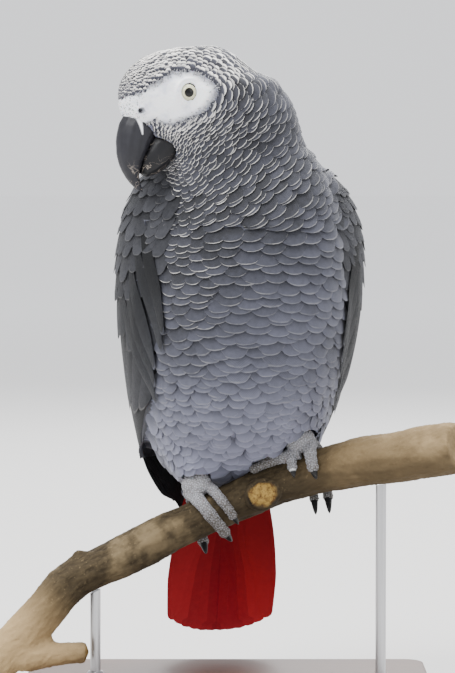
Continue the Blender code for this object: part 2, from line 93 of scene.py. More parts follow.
# Distances from the bill, in mm, at which the feathers' sizes are given. For the sides of
# head and body, the crown and the throat: exposed length in mm, then half width as a share.
SIZE_PLACES = (0, 8, 20, 40, 60, 80, 110, 140, 300)
SIZES = (
    (
        (1.15, 1.25, 1.45, 2.0, 2.9, 3.8, 4.7, 5.2, 5.6),
        (1.0, 1.2, 1.8, 2.2, 2.2, 2.1, 2.0, 1.9, 1.6),
    ),
    (
        (1.1, 1.2, 1.35, 1.95, 2.7, 3.5, 4.5, 5.1, 5.8),
        (0.9, 0.9, 0.95, 1.0, 1.1, 1.2, 1.3, 1.3, 1.3),
    ),
    (
        (1.2, 1.8, 2.5, 3.2, 3.8, 4.3, 4.6, 5.0, 5.6),
        (1.1, 1.4, 1.7, 1.9, 2.0, 2.0, 2.0, 1.9, 1.6),
    ),
)

# Seeds of the feather rows and of the foot scales, and how many fringe feathers are tried.
ROW_SEED = 11
SCALE_SEED = 5
FRINGE_TRIES = 2600

# The tail's middle line and its half widths, in the body frame, in mm.
TAIL_ROOT = (0.5, 46, 117)
TAIL_TIP = (3.3, 91, 20)
TAIL_HALF_WIDTHS = (17, 26)

# Middle line of the perch, in mm.
PERCH_LINE = (
    (-126, -17, 12), (-104, -16, 35), (-80, -12, 61), (-66, -9, 68.4), (-42, -4, 79.6),
    (-12, 0, 94.2), (26, 0, 111), (54, -7, 119.5), (83, -24, 126), (122, -45, 134),
)
# Feet: the place of each along X in mm, and its toes about the perch. The numbers of a toe are
# where it starts and ends along the perch from there in mm, the arc in degrees that it goes
# over the perch's front, or over its back if negative, its half thickness in mm, and its
# claw's length in mm and curl in degrees.
FEET = {
    "right": (-9.0, {
        "front_outer": (-4.4, 2.0, 118, 3.6, 13, 6),
        "front_inner": (4.2, 9.0, 92, 2.9, 10, 26),
        "rear_outer": (-3.4, -7.5, -126, 3.4, 14, 12),
        "rear_inner": (3.0, 4.5, -84, 3.0, 9, 48),
    }),
    "left": (42.0, {
        "front_outer": (4.0, 4.6, 56, 3.5, 11, 48),
        "front_inner": (-4.6, -5.0, 44, 3.1, 10, 40),
        "rear_outer": (3.6, 2.8, -126, 3.2, 17, 4),
        "rear_inner": (-3.4, -4.0, -124, 3.0, 16, 4),
    }),
}
WHITE_CLAW = ("left", "front_inner")  # the one claw with a pale base

# Middle and radius of the cut knot, in mm.
KNOT_FACE = (17.5, -14.5, 106.5)
KNOT_RADIUS = 7.2

# Outline of the bare white face in the head's frame, side view: back (+) and up (+), in mm.
FACE = (
    (-32.1, -1.0), (-29.5, 1.3), (-25.5, 2.3), (-22.0, 2.0), (-18.9, 4.5), (-14.5, 6.2),
    (-9.7, 8.0), (-5.7, 9.6), (0.3, 9.5), (5.4, 7.4), (9.0, 3.7), (11.1, 0.7), (9.5, -3.6),
    (6.2, -7.2), (2.4, -10.2), (-2.8, -11.8), (-9.9, -13.2), (-15.0, -12.3), (-18.5, -10.1),
    (-22.5, -11.0), (-24.6, -13.6), (-25.6, -18.0), (-29.0, -16.0), (-36.0, -6.0),
)
# The left nostril in the head's frame, in mm; the right one is its mirror image.
NOSTRIL = (9.7, -22.9, -4.9)

# Outline of the cere's white edge on the horn of the upper bill, in the same view.
CERE = (
    (-31.4, -4.8), (-27.6, -6.8), (-24.8, -8.4), (-24.0, -12.0), (-23.5, -16.5),
    (-22.9, -16.5), (-22.5, -12.0), (-21.8, -8.0), (-29.0, -2.0),
)


def linear(red, green, blue):
    """A display colour, 0 to 255, as a linear one."""
    return tuple((value / 255) ** 2.2 for value in (red, green, blue))


def to_array(points):
    return np.array([tuple(p) for p in points], float)


def transformed(matrix, points):
    """Rows of points taken through a 4x4 matrix."""
    m = np.array(matrix)
    return points @ m[:3, :3].T + m[:3, 3]


def unit(vectors):
    return vectors / np.maximum(np.linalg.norm(vectors, axis=-1, keepdims=True), 1e-12)


def smoothstep(low, high, values):
    t = np.clip((values - low) / (high - low), 0, 1)
    return t * t * (3 - 2 * t)


def node_centre(name):
    low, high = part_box(name)
    return (low + high) / 2


def head_frame():
    """Origin midway between the eyes, +x to the left eye, -y along the bill, +z up."""
    left, right = node_centre("eye_left"), node_centre("eye_right")
    across = (left - right).normalized()
    turn = math.atan2(across.y, across.x)
    pitch = Matrix.Rotation(HEAD_PITCH, 4, "X")
    return Matrix.Translation((left + right) / 2) @ Matrix.Rotation(turn, 4, "Z") @ pitch


HEAD = head_frame()


# ---------------------------------------------------------------- properties


def colour(name, default, text):
    return FloatVectorProperty(
        name=name, description=text, default=default, subtype="COLOR", min=0, max=1
    )


def length(name, default, text):
    return FloatProperty(name=name, description=text, default=default * MM, unit="LENGTH")


class ParrotSkinSettings(bpy.types.PropertyGroup):
    form_voxel: length("Form voxel", 1.7, "Grain of the body's form under the feathers")
    face_voxel: length("Face voxel", 0.55, "Grain of the bare skin of the face")
    foot_voxel: length("Foot voxel", 0.5, "Grain of the bare skin of the feet")
    coat_depth: length("Coat depth", 2.3, "How deep the skin lies under the body feathers")
    lid_radius: length("Lid radius", 4.85, "Middle radius of the ring of each eyelid")
    face: colour("Bare face", linear(244, 245, 248), "White bare skin round the eye")
    foot: colour("Foot skin", linear(78, 74, 70), "Skin between the scales of the feet")
    scale: colour("Foot scales", linear(158, 158, 163), "Powdery scales of the feet")
    scale_gap: length("Scale gap", 1.0, "From one scale of the feet to the next")


class ParrotCoatSettings(bpy.types.PropertyGroup):
    slate: colour("Slate", linear(29, 30, 34), "Darkest grey of a contour feather")
    ash: colour("Ash", linear(116, 118, 136), "Palest grey of a contour feather")
    rim: colour("Rim", linear(250, 247, 241), "Pale rim of a contour feather")
    flight: colour("Flight feathers", linear(31, 32, 35), "Dark grey of the flight feathers")
    red: colour("Red", linear(98, 2, 24), "Crimson of the tail")
    red_light: colour("Light red", linear(190, 46, 48), "Paler red round the tail's root")
    seed: IntProperty(name="Seed", description="Seed of the small irregularities", default=7)


class ParrotHornSettings(bpy.types.PropertyGroup):
    bill: colour("Bill", linear(36, 36, 40), "Black horn of the bill")
    worn: colour("Worn horn", linear(172, 160, 148), "Pale flaking edges of the horn")
    claw: colour("Claws", linear(22, 22, 23), "Black horn of the claws")
    iris: colour("Iris", linear(222, 220, 190), "Pale straw iris")
    iris_radius: length("Iris radius", 4.0, "Outer radius of the iris")
    pupil_radius: length("Pupil radius", 2.2, "Radius of the pupil")


class ParrotPerchSettings(bpy.types.PropertyGroup):
    voxel: length("Bark voxel", 1.0, "Grain of the bark's surface")
    bark: colour("Bark", linear(76, 66, 49), "Middle colour of the bark")
    bark_dark: colour("Dark bark", linear(46, 39, 29), "Cracks and shaded bark")
    bark_pale: colour("Pale bark", linear(142, 124, 94), "Dry pale bark")
    cut_wood: colour("Cut wood", linear(146, 119, 66), "Ochre wood of knots and cut ends")
    base: colour("Base", linear(74, 50, 34), "Dark stained wood of the stand's base")
    steel: colour("Steel", linear(196, 196, 198), "Steel of the stand's rods")


class ParrotStageSettings(bpy.types.PropertyGroup):
    floor: colour("Floor", linear(206, 205, 203), "Pale studio floor")
    world: colour("World", linear(226, 227, 230), "Soft light from all round")
    key_watts: FloatProperty(name="Key", description="Power of the key light", default=46)
    fill_watts: FloatProperty(name="Fill", description="Power of the fill light", default=7)


# ---------------------------------------------------------------- materials


class Wire:
    """An output socket that can be used in sums."""

    def __init__(self, finish, socket):
        self.finish = finish
        self.socket = socket

    def maths(self, operation, first, second=0.0):
        return self.finish.node("Math", {"operation": operation}, {0: first, 1: second})

    def __add__(self, other):
        return self.maths("ADD", self, other)

    def __sub__(self, other):
        return self.maths("SUBTRACT", self, other)

    def __rsub__(self, other):
        return self.maths("SUBTRACT", other, self)

    def __mul__(self, other):
        return self.maths("MULTIPLY", self, other)

    def __truediv__(self, other):
        return self.maths("DIVIDE", self, other)

    __radd__ = __add__
    __rmul__ = __mul__


class Finish:
    """A material under construction."""

    def __init__(self, name, roughness=0.6, **constants):
        self.material = bpy.data.materials.new(name)
        self.material.use_nodes = True
        self.nodes = self.material.node_tree.nodes
        self.links = self.material.node_tree.links
        self.shader = self.nodes["Principled BSDF"]
        self.shader.inputs["Roughness"].default_value = roughness
        for word, value in constants.items():
            self.shader.inputs[self.socket_name(word)].default_value = value

    @staticmethod
    def socket_name(word):
        return word.replace("_", " ").title().replace("Ior", "IOR")

    def node(self, kind, settings=None, inputs=None, output=0):
        """Adds a node, sets it up, then fills its sockets with values or wires."""
        node = self.nodes.new("ShaderNode" + kind)
        for name, value in (settings or {}).items():
            if name == "stops":
                self.set_stops(node.color_ramp, value)
            else:
                setattr(node, name, value)
        for socket, value in (inputs or {}).items():
            if isinstance(value, Wire):
                self.links.new(value.socket, node.inputs[socket])
            else:
                node.inputs[socket].default_value = value
        return Wire(self, node.outputs[output])

    @staticmethod
    def set_stops(ramp, stops):
        while len(ramp.elements) < len(stops):
            ramp.elements.new(1.0)
        for element, (place, value) in zip(ramp.elements, stops):
            element.position = place
            element.color = (value,) * 3 + (1,) if isinstance(value, (int, float)) else (*value, 1)

    def feed(self, **inputs):
        for word, wire in inputs.items():
            self.links.new(wire.socket, self.shader.inputs[self.socket_name(word)])
        return self.material

    def maximum(self, first, second):
        return self.node("Math", {"operation": "MAXIMUM"}, {0: first, 1: second})

    def attribute(self, name):
        return self.node("Attribute", {"attribute_name": name}, output="Fac")

    def coordinates(self, scale=(1, 1, 1), turn=(0, 0, 0)):
        here = self.node("TexCoord", output="Object")
        return self.node("Mapping", inputs={"Vector": here, "Scale": scale, "Rotation": turn})

    def noise(self, vector, scale, detail=3.0, roughness=0.55, distortion=0.0):
        inputs = {"Vector": vector, "Scale": scale, "Detail": detail}
        inputs.update({"Roughness": roughness, "Distortion": distortion})
        return self.node("TexNoise", inputs=inputs)

    def ramp(self, value, *stops):
        return self.node("ValToRGB", {"stops": stops}, {"Fac": value})

    def band(self, value, low, high):
        """0 below low, 1 above high, smooth between; low above high turns it round."""
        settings = {"interpolation_type": "SMOOTHSTEP"}
        if low > high:
            return 1 - self.band(value, high, low)
        return self.node("MapRange", settings, {"Value": value, "From Min": low, "From Max": high})

    def mix(self, factor, first, second, blend="MIX"):
        settings = {"data_type": "RGBA", "blend_type": blend}
        colours = [c if isinstance(c, Wire) else (*c, 1)[:4] for c in (first, second)]
        inputs = {0: factor, 6: colours[0], 7: colours[1]}
        return self.node("Mix", settings, inputs, output=2)

    def bump(self, height, depth, strength=1.0):
        inputs = {"Height": height, "Distance": depth, "Strength": strength}
        return self.node("Bump", inputs=inputs, output="Normal")


def vane_finish(name, dark, pale, rim, roughness=0.62, rim_gain=1.0, sheen=0.12, gloss=0.25):
    """A feather's web, darkened towards its root by painted shade, with a pale hem and fine barbs.

    The vane map runs from 0 to 1 across and along the feather. Tone, rim, hem and lot say how
    pale the feather is, how strong its hem is, how wide that is as a share of the length, and
    a number of its own between 0 and 1.
    """
    f = Finish(name, roughness, sheen_weight=sheen, sheen_roughness=0.5, specular_ior_level=gloss)
    split = f.node("SeparateXYZ", inputs={0: f.node("UVMap", {"uv_map": "Vane"}, output="UV")})
    across = f.node("Math", {"operation": "ABSOLUTE"}, {0: split * 2 - 1})
    along = Wire(f, split.socket.node.outputs["Y"])
    tone, strength, hem, lot = (f.attribute(word) for word in ("tone", "rim", "hem", "lot"))
    here = f.coordinates()
    mottle = f.noise(here, 420, 2.0)
    barbs = f.node("Math", {"operation": "SINE"}, {0: (along - across * 0.45 + lot * 0.1) / hem * 9})
    to_tip = (1 - along) / hem + (mottle - 0.5) * 0.5
    to_side = (1 - across) / hem * 0.55 + f.band(along, 0.75, 0.4) * 2
    edge = f.maximum(f.band(to_tip, 1.15, 0.5), f.band(to_side, 1.1, 0.5) * 0.55)
    patchy = 1 - f.band(f.noise(here, 230, 2.0), 0.6, 0.36) * (1.15 - strength) * 0.6
    edge = edge * (0.84 + barbs * 0.16) * patchy * strength * rim_gain
    body = f.mix(tone + (lot - 0.5) * 0.14 + (mottle - 0.5) * 0.2 + barbs * 0.07, dark, pale)
    # Painted shade: the web darkens towards its root, where the feather lying over it would shade it.
    shade = 0.5 + f.band(along, 0.3, 0.95) * 0.5
    shade = f.node("CombineColor", inputs={0: shade, 1: shade, 2: shade})
    body = f.mix(1.0, body, shade, "MULTIPLY")
    painted = f.mix(edge, body, rim)
    relief = barbs * 0.4 + f.noise(here, 900, 2.0) * 0.4
    return f.feed(base_color=painted, normal=f.bump(relief, 0.0001, 0.5))


# ---------------------------------------------------------------- meshes and pieces


def node_bmesh(name, grow=0.0):
    """A CAD node's mesh, merged, and grown along its normals."""
    bm = bmesh.new()
    bm.from_mesh(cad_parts[name].data)
    bmesh.ops.remove_doubles(bm, verts=bm.verts[:], dist=1e-6)
    bm.normal_update()
    if grow:
        for vert in bm.verts:
            vert.co += vert.normal * grow
    return bm


def mesh_of(bm, name="part"):
    mesh = bpy.data.meshes.new(name)
    bm.to_mesh(mesh)
    bm.free()
    return mesh


def joined(meshes, name="part"):
    bm = bmesh.new()
    for mesh in meshes:
        bm.from_mesh(mesh)
    return mesh_of(bm, name)


def placed(name, data):
    """A new object in the scene."""
    obj = bpy.data.objects.new(name, data)
    bpy.context.scene.collection.objects.link(obj)
    return obj


def worked(data, *steps):
    """A mesh or curve after modifiers, each given as a type and its settings."""
    helper = placed("helper", data)
    for kind, settings in steps:
        modifier = helper.modifiers.new(kind, kind)
        for name, value in settings.items():
            setattr(modifier, name, value)
    shown = helper.evaluated_get(bpy.context.evaluated_depsgraph_get())
    made = bpy.data.meshes.new_from_object(shown)
    bpy.data.objects.remove(helper)
    return made


def melted(mesh, voxel, smoothing=0):
    """The mesh as one closed skin on a grid of voxels, smoothed; stray inner shells dropped."""
    steps = [("REMESH", {"mode": "VOXEL", "voxel_size": voxel})]
    if smoothing:
        steps.append(("SMOOTH", {"factor": 0.5, "iterations": smoothing}))
    return largest_shell(worked(mesh, *steps))


def largest_shell(mesh):
    bm = bmesh.new()
    bm.from_mesh(mesh)
    left = set(bm.verts)
    shells = []
    while left:
        stack = [left.pop()]
        shell = list(stack)
        while stack:
            for edge in stack.pop().link_edges:
                for vert in edge.verts:
                    if vert in left:
                        left.remove(vert)
                        shell.append(vert)
                        stack.append(vert)
        shells.append(shell)
    shells.sort(key=len)
    for shell in shells[:-1]:
        bmesh.ops.delete(bm, geom=shell, context="VERTS")
    return mesh_of(bm, mesh.name)


def tube(points, radii, sides=10):
    """A round tube through points, as thick at each as its radius says."""
    curve = bpy.data.curves.new("tube", "CURVE")
    curve.dimensions = "3D"
    curve.bevel_depth = 1.0
    curve.bevel_resolution = sides // 2 - 2
    curve.use_fill_caps = True
    spline = curve.splines.new("POLY")
    spline.points.add(len(points) - 1)
    for knot, place, radius in zip(spline.points, points, radii):
        knot.co = (*place, 1)
        knot.radius = radius
    return worked(curve)


def ball(centre, radii, turn=Matrix()):
    """An ellipsoid with half sizes along the axes of a turned frame."""
    bm = bmesh.new()
    place = Matrix.Translation(centre) @ turn @ Matrix.Diagonal((*radii, 1))
    bmesh.ops.create_icosphere(bm, subdivisions=3, radius=1.0, matrix=place)
    return mesh_of(bm)


def rows_of(items, word, width, kind=np.float32):
    """A property of each item of a mesh, as rows of an array."""
    flat = np.empty(len(items) * width, kind)
    items.foreach_get(word, flat)
    return flat.reshape(-1, width)


def coordinates(mesh):
    return rows_of(mesh.vertices, "co", 3).astype(float)


def vertex_normals(mesh):
    return rows_of(mesh.vertex_normals, "vector", 3).astype(float)


def grain_at(points, scale):
    """Smooth random values, between -1 and 1, at points in metres."""
    return np.array([noise.noise(Vector(p) * scale) for p in points.tolist()])


def set_coordinates(mesh, points):
    mesh.vertices.foreach_set("co", points.astype(np.float32).ravel())
    mesh.update()


def set_attribute(mesh, name, values):
    layer = mesh.attributes.new(name, "FLOAT", "POINT")
    layer.data.foreach_set("value", np.asarray(values, np.float32))


def piece(name, mesh, material, nodes=(), flat_angle=None):
    """A finished piece: named, dressed, riding on the model, standing for its CAD nodes."""
    mesh.name = name
    obj = placed(name, mesh)
    mesh.materials.clear()
    mesh.materials.append(material)
    mesh.shade_smooth()
    if flat_angle is not None:
        mesh.set_sharp_from_angle(angle=math.radians(flat_angle))
    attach(obj, "root")
    if nodes:
        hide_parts(*nodes)
    return obj


def distances(points, tree):
    """How far each point is from the surface in a BVH tree."""
    return np.array([tree.find_nearest(p)[3] for p in points.tolist()])


@lru_cache(maxsize=None)
def tree_of(*names):
    bm = bmesh.new()
    for name in names:
        bm.from_mesh(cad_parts[name].data)
    tree = BVHTree.FromBMesh(bm)
    bm.free()
    return tree


# ---------------------------------------------------------------- the bird's form


def outline_distance(points, outline):
    """Signed distance of 2-D points from a closed outline, positive inside."""
    corners = np.array(outline, float)
    inside = np.zeros(len(points), bool)
    nearest = np.full(len(points), 1e9)
    for a, b in zip(corners, np.roll(corners, -1, axis=0)):
        edge = b - a
        t = np.clip(((points - a) @ edge) / (edge @ edge), 0, 1)
        nearest = np.minimum(nearest, np.linalg.norm(points - a - t[:, None] * edge, axis=1))
        crosses = (a[1] > points[:, 1]) != (b[1] > points[:, 1])
        with np.errstate(divide="ignore", invalid="ignore"):
            at = a[0] + (points[:, 1] - a[1]) / (b[1] - a[1]) * (b[0] - a[0])
        inside ^= crosses & (points[:, 0] < at)
    return np.where(inside, nearest, -nearest)


def head_places(points):
    """Points in the head's frame, in mm."""
    return transformed(HEAD.inverted(), points) / MM


def face_edge(points):
    """Distance inside the bare face's outline, in mm, negative outside it."""
    local = head_places(points)
    edge = outline_distance(local[:, 1:], FACE)
    return np.where(np.linalg.norm(local, axis=1) < HEAD_SPAN, edge, -HEAD_SPAN)


class Form:
    """The bird's outer form with the coat on, sampled at the vertices of one closed mesh.

    For each vertex it keeps the normal, the lie of the coat, the distance from the bill along
    the skin (reach, in mm), the node that it belongs to and the depth of the coat.
    """

    def __init__(self, settings):
        parts = [mesh_of(node_bmesh(name, FORM_GROWTH)) for name in OWNERS[FLESH]]
        for name, height in FORM_FLOORS.items():
            bm = node_bmesh(name, FORM_GROWTH)
            cut = bmesh.ops.bisect_plane(
                bm, geom=bm.verts[:] + bm.edges[:] + bm.faces[:],
                plane_co=(0, 0, height * MM), plane_no=(0, 0, 1), clear_inner=True,
            )["geom_cut"]
            bmesh.ops.holes_fill(bm, edges=[g for g in cut if isinstance(g, bmesh.types.BMEdge)])
            parts.append(mesh_of(bm))
        mesh = melted(joined(parts), settings.form_voxel, 4)
        mesh.calc_loop_triangles()
        self.mesh = mesh
        self.points = coordinates(mesh)
        self.normals = vertex_normals(mesh)
        self.triangles = rows_of(mesh.loop_triangles, "vertices", 3, np.int32)
        self.edges = rows_of(mesh.edges, "vertices", 2, np.int32)
        self.tree = KDTree(len(self.points))
        for index, point in enumerate(self.points):
            self.tree.insert(point, index)
        self.tree.balance()
        self.find_owners()
        self.height = transformed(BODY.inverted(), self.points)[:, 2] / MM
        bill = distances(self.points, tree_of("bill_upper", "bill_lower")) < BILL_GAP
        upper = self.height > NECK_RING
        even = np.ones(len(self.points))
        self.reach = self.travel(even, bill)
        self.bare = face_edge(self.points)
        self.find_pitch()
        cost = MM / self.pitch
        upper_bill = distances(self.points, tree_of("bill_upper")) < BILL_GAP
        outward = self.travel(cost * (1 - 0.75 * smoothstep(-1.5, 0.5, self.bare)), upper_bill)
        self.rows = ((outward, upper), (self.travel(cost, upper), ~upper))
        self.find_lie(outward, self.travel(even, upper))
        self.find_depth(settings)

    def spread(self, values, rounds):
        """Values averaged with their neighbours' a number of times."""
        first, second = self.edges.T
        count = np.bincount(self.edges.ravel(), minlength=len(self.points))
        values = values.astype(float)
        columns = values.reshape(len(values), -1)
        for _ in range(rounds):
            total = np.empty_like(columns)
            for i in range(columns.shape[1]):
                column = columns[:, i]
                total[:, i] = np.bincount(first, column[second], len(values))
                total[:, i] += np.bincount(second, column[first], len(values))
            columns = 0.5 * columns + 0.5 * total / count[:, None]
        return columns.reshape(values.shape)

    def find_owners(self):
        """The group of nodes that each vertex is nearest to, by its place in OWNERS."""
        each = np.array([distances(self.points, tree_of(*names)) for names in OWNERS])
        self.owner = each.argmin(axis=0)

    def travel(self, cost, start):
        """Least cost of a way over the skin from the starting vertices to each one, smoothed.

        cost is what a millimetre costs at each vertex.
        """
        first, second = self.edges.T
        lengths = np.linalg.norm(self.points[first] - self.points[second], axis=1) / MM
        near = [[] for _ in self.points]
        prices = lengths * (cost[first] + cost[second]) / 2
        for a, b, size in zip(*self.edges.T.tolist(), prices.tolist()):
            near[a].append((b, size))
            near[b].append((a, size))
        reach = [1e9] * len(near)
        queue = [(0.0, int(i)) for i in np.nonzero(start)[0]]
        for _, i in queue:
            reach[i] = 0.0
        while queue:
            far, i = heapq.heappop(queue)
            if far > reach[i]:
                continue
            for j, size in near[i]:
                if far + size < reach[j]:
                    reach[j] = far + size
                    heapq.heappush(queue, (far + size, j))
        return self.spread(np.minimum(np.array(reach), 1000), 24)

    def find_pitch(self):
        """Exposed length and half width of a contour feather at each vertex, in metres."""
        height = head_places(self.points)[:, 2]
        side, crown, throat = (
            np.stack([np.interp(self.reach, SIZE_PLACES, values) for values in kind], axis=1)
            for kind in SIZES
        )
        mixed = side + (crown - side) * smoothstep(-4, 6, height)[:, None]
        mixed += (throat - mixed) * smoothstep(-20, -30, height)[:, None]
        pitch, shape = self.spread(mixed, 6).T
        back = transformed(BODY.inverted(), self.points)[:, 1] / MM
        pitch *= 1 - 0.2 * smoothstep(195, 150, self.height) * smoothstep(38, 20, back)
        self.pitch = pitch * (0.75 + 0.25 * smoothstep(-0.5, -9, self.bare)) * MM
        self.half = self.pitch * shape

    def slope(self, values):
        """Unit directions over the form in which the values rise."""
        first, second = self.edges.T
        step = self.points[second] - self.points[first]
        weight = (values[second] - values[first]) / (step * step).sum(axis=1)
        pull = step * weight[:, None]
        rise = np.empty_like(self.points)
        for axis in range(3):
            rise[:, axis] = np.bincount(first, pull[:, axis], len(rise))
            rise[:, axis] += np.bincount(second, pull[:, axis], len(rise))
        return unit(self.spread(unit(rise), 6))

    def find_lie(self, rows, fall):
        """Directions in which the coat lies: away from the bill, then down the body."""
        low = smoothstep(NECK_RING + 8, NECK_RING - 12, self.height)[:, None]
        lie = self.slope(rows) * (1 - low) + self.slope(fall) * low
        lie = self.spread(lie, 8)
        lie -= self.normals * (lie * self.normals).sum(axis=1)[:, None]
        self.lie = unit(lie)

    def find_depth(self, settings):
        """Thin on the head, next to none on the bare face, deepest on body and wings."""
        full = settings.coat_depth
        depth = np.interp(self.reach, (0, 25, 60, 110), (0.3 * MM, 0.7 * MM, 1.5 * MM, full))
        depth = np.where(self.bare > -1.5, 0.12 * MM, depth)
        depth = np.where(self.owner == WING, 2.4 * MM, depth)
        self.depth = self.spread(depth, 5)

    def nearest(self, points):
        flat = points.reshape(-1, 3)
        find = self.tree.find
        return np.array([find(p)[1] for p in flat.tolist()]).reshape(points.shape[:-1])

    def laid(self, points):
        """The points brought onto the form, with the normals there and the nearest vertices."""
        index = self.nearest(points)
        normals = self.normals[index]
        off = ((points - self.points[index]) * normals).sum(axis=-1, keepdims=True)
        return points - normals * off, normals, index

    def contour(self, values, level):
        """Loops of points where the values equal a level."""
        high = values > level
        sides = high[self.triangles]
        crossing = self.triangles[sides.any(axis=1) & ~sides.all(axis=1)]
        links = {}
        for a, b, c in crossing.tolist():
            pairs = ((a, b), (b, c), (c, a))
            ends = [(min(pair), max(pair)) for pair in pairs if high[pair[0]] != high[pair[1]]]
            links.setdefault(ends[0], []).append(ends[1])
            links.setdefault(ends[1], []).append(ends[0])
        loops = []
        while links:
            key = next(iter(links))
            loop = [key]
            while key in links:
                onward = [k for k in links.pop(key) if k in links]
                if not onward:
                    break
                key = onward[0]
                loop.append(key)
            first, second = np.array(loop).T
            low, top = values[first], values[second]
            share = ((level - low) / (top - low))[:, None]
            loops.append(self.points[first] * (1 - share) + self.points[second] * share)
        return loops


@lru_cache(maxsize=None)
def form():
    """The bird's form, made once."""
    return Form(bpy.context.scene.parrot_skin)


def resampled(loop, spacing, start):
    """Points round a closed loop, apart by the spacing given at each of its points."""
    ring = np.vstack([loop, loop[:1]])
    steps = np.linalg.norm(np.diff(ring, axis=0), axis=1)
    along = np.concatenate([[0], np.cumsum(steps / spacing)])
    count = round(along[-1])
    if count < 2:
        return np.empty((0, 3))
    places = (np.arange(count) + start) / count * along[-1]
    return np.stack([np.interp(places, along, ring[:, i]) for i in range(3)], axis=1)


# ---------------------------------------------------------------- feathers


class Vane:
    """A flat feather of unit size: two sheets joined round their rim.

    across runs -1 to 1, closer together near the edges; along runs 0 to 1; under is 1 where
    the lower sheet lies below.
    """

    def __init__(self, columns, rows):
        bm = bmesh.new()
        bmesh.ops.create_grid(bm, x_segments=columns, y_segments=rows, size=1)
        rim = {(round(v.co.x, 4), round(v.co.y, 4)) for v in bm.verts if v.is_boundary}
        sheet = bm.verts[:] + bm.edges[:] + bm.faces[:]
        lower = bmesh.ops.duplicate(bm, geom=sheet)["geom"]
        bmesh.ops.reverse_faces(bm, faces=[g for g in lower if isinstance(g, bmesh.types.BMFace)])
        for vert in (g for g in lower if isinstance(g, bmesh.types.BMVert)):
            if (round(vert.co.x, 4), round(vert.co.y, 4)) not in rim:
                vert.co.z = -1
        bmesh.ops.remove_doubles(bm, verts=bm.verts[:], dist=1e-4)
        bm.verts.index_update()
        places = to_array(v.co for v in bm.verts)
        self.across = np.sin(places[:, 0] * math.pi / 2)
        self.along = (places[:, 1] + 1) / 2
        self.under = -places[:, 2]
        self.faces = np.array([[v.index for v in face.verts] for face in bm.faces])
        self.rows = rows
        bm.free()


@lru_cache(maxsize=None)
def vane(columns, rows):
    return Vane(columns, rows)


class Coat:
    """Collects feathers, then makes them one piece."""

    USUAL = {"rounding": 0.34, "waist": 0.45, "taper": 0.25, "fray": 0.05, "thickness": 0.12 * MM}

    def __init__(self, seed):
        self.random = np.random.default_rng(seed)
        self.batches = []

    def scatter(self, count, amount):
        return self.random.uniform(-amount, amount, count)

    def add(self, shape, spine, side, normal, half_width, height, **look):
        """Adds feathers along their spines, with looks that may differ from one to the next.

        spine, side and normal hold, for each feather, a place and two directions at each of
        the shape's rows; half_width is in metres; height gives each vertex's distance above
        the surface from its across and along values.
        """
        count = len(spine)
        length = np.linalg.norm(np.diff(spine, axis=1), axis=2).sum(axis=1)
        rounding, waist, taper, fray, thick = (
            np.reshape(look.get(word, usual), (-1, 1)) for word, usual in self.USUAL.items()
        )
        across = np.broadcast_to(shape.across, (count, len(shape.across)))
        ragged = 1 + self.random.uniform(-1, 0.6, across.shape) * fray * shape.along**6
        arc = 1 - np.sqrt(np.clip(1 - across**2, 0, 1))
        along = shape.along * (1 - rounding * arc * shape.along**3) * ragged
        along = np.clip(along, 0, 1)
        ripple = 1 + self.random.uniform(-1, 1, across.shape) * fray * 0.7 * (np.abs(across) > 0.95)
        swell = waist + (1 - waist) * np.sin(np.clip(shape.along / 0.55, 0, 1) * math.pi / 2)
        swell = swell * (1 - taper * np.clip((shape.along - 0.5) / 0.5, 0, 1) ** 2)
        out = across * ripple * swell * half_width[:, None]
        row = along * shape.rows
        low = np.minimum(row.astype(int), shape.rows - 1)
        share = (row - low)[..., None]
        pick = np.arange(count)[:, None]

        def between(values):
            return values[pick, low] * (1 - share) + values[pick, low + 1] * share

        place = between(spine) + unit(between(side)) * out[..., None]
        facing = unit(between(normal))
        if look.get("laid", False):
            place, facing, _ = form().laid(place)
        rise = height(across, shape.along[None, :]) - thick * shape.under
        self.batches.append(
            {
                "co": place + facing * rise[..., None],
                "shape": shape,
                "root": spine[:, 0],
                "tone": look["tone"],
                "rim": look["rim"],
                "hem": np.clip(look.get("hem", 0.55 * MM) / length, 0.03, 0.4),
                "lot": self.random.uniform(0, 1, count),
            }
        )

    def made(self, name, material, slot, nodes=()):
        """One mesh of all the feathers, with their maps and attributes."""
        points, faces, webs, bakes = [], [], [], []
        looks = {"tone": [], "rim": [], "hem": [], "lot": []}
        start = 0
        for batch in self.batches:
            shape, co = batch["shape"], batch["co"]
            count, size = co.shape[:2]
            points.append(co.reshape(-1, 3))
            offsets = start + np.arange(count)[:, None, None] * size
            faces.append((shape.faces[None] + offsets).reshape(-1, 4))
            web = np.stack([(shape.across + 1) / 2, shape.along], axis=1)
            webs.append(np.tile(web, (count, 1)))
            roots = np.repeat(bake_places(batch["root"]), size, axis=0)
            bakes.append(roots + (webs[-1] - 0.5) * 0.003)
            for word, values in looks.items():
                values.append(np.repeat(np.broadcast_to(batch[word], count), size))
            start += count * size
        mesh = bpy.data.meshes.new(name)
        points, faces = np.vstack(points), np.vstack(faces)
        mesh.vertices.add(len(points))
        mesh.loops.add(faces.size)
        mesh.polygons.add(len(faces))
        mesh.vertices.foreach_set("co", points.astype(np.float32).ravel())
        mesh.loops.foreach_set("vertex_index", faces.astype(np.int32).ravel())
        mesh.polygons.foreach_set("loop_start", np.arange(0, faces.size, 4, dtype=np.int32))
        mesh.update(calc_edges=True)
        for word, values in (("Vane", webs), ("OFBake", bakes)):
            corners = np.vstack(values)[faces.ravel()].astype(np.float32)
            mesh.uv_layers.new(name=word).data.foreach_set("uv", corners.ravel())
        for word, values in looks.items():
            set_attribute(mesh, word, np.concatenate(values))
        return piece(name, mesh, material, nodes, flat_angle=60)


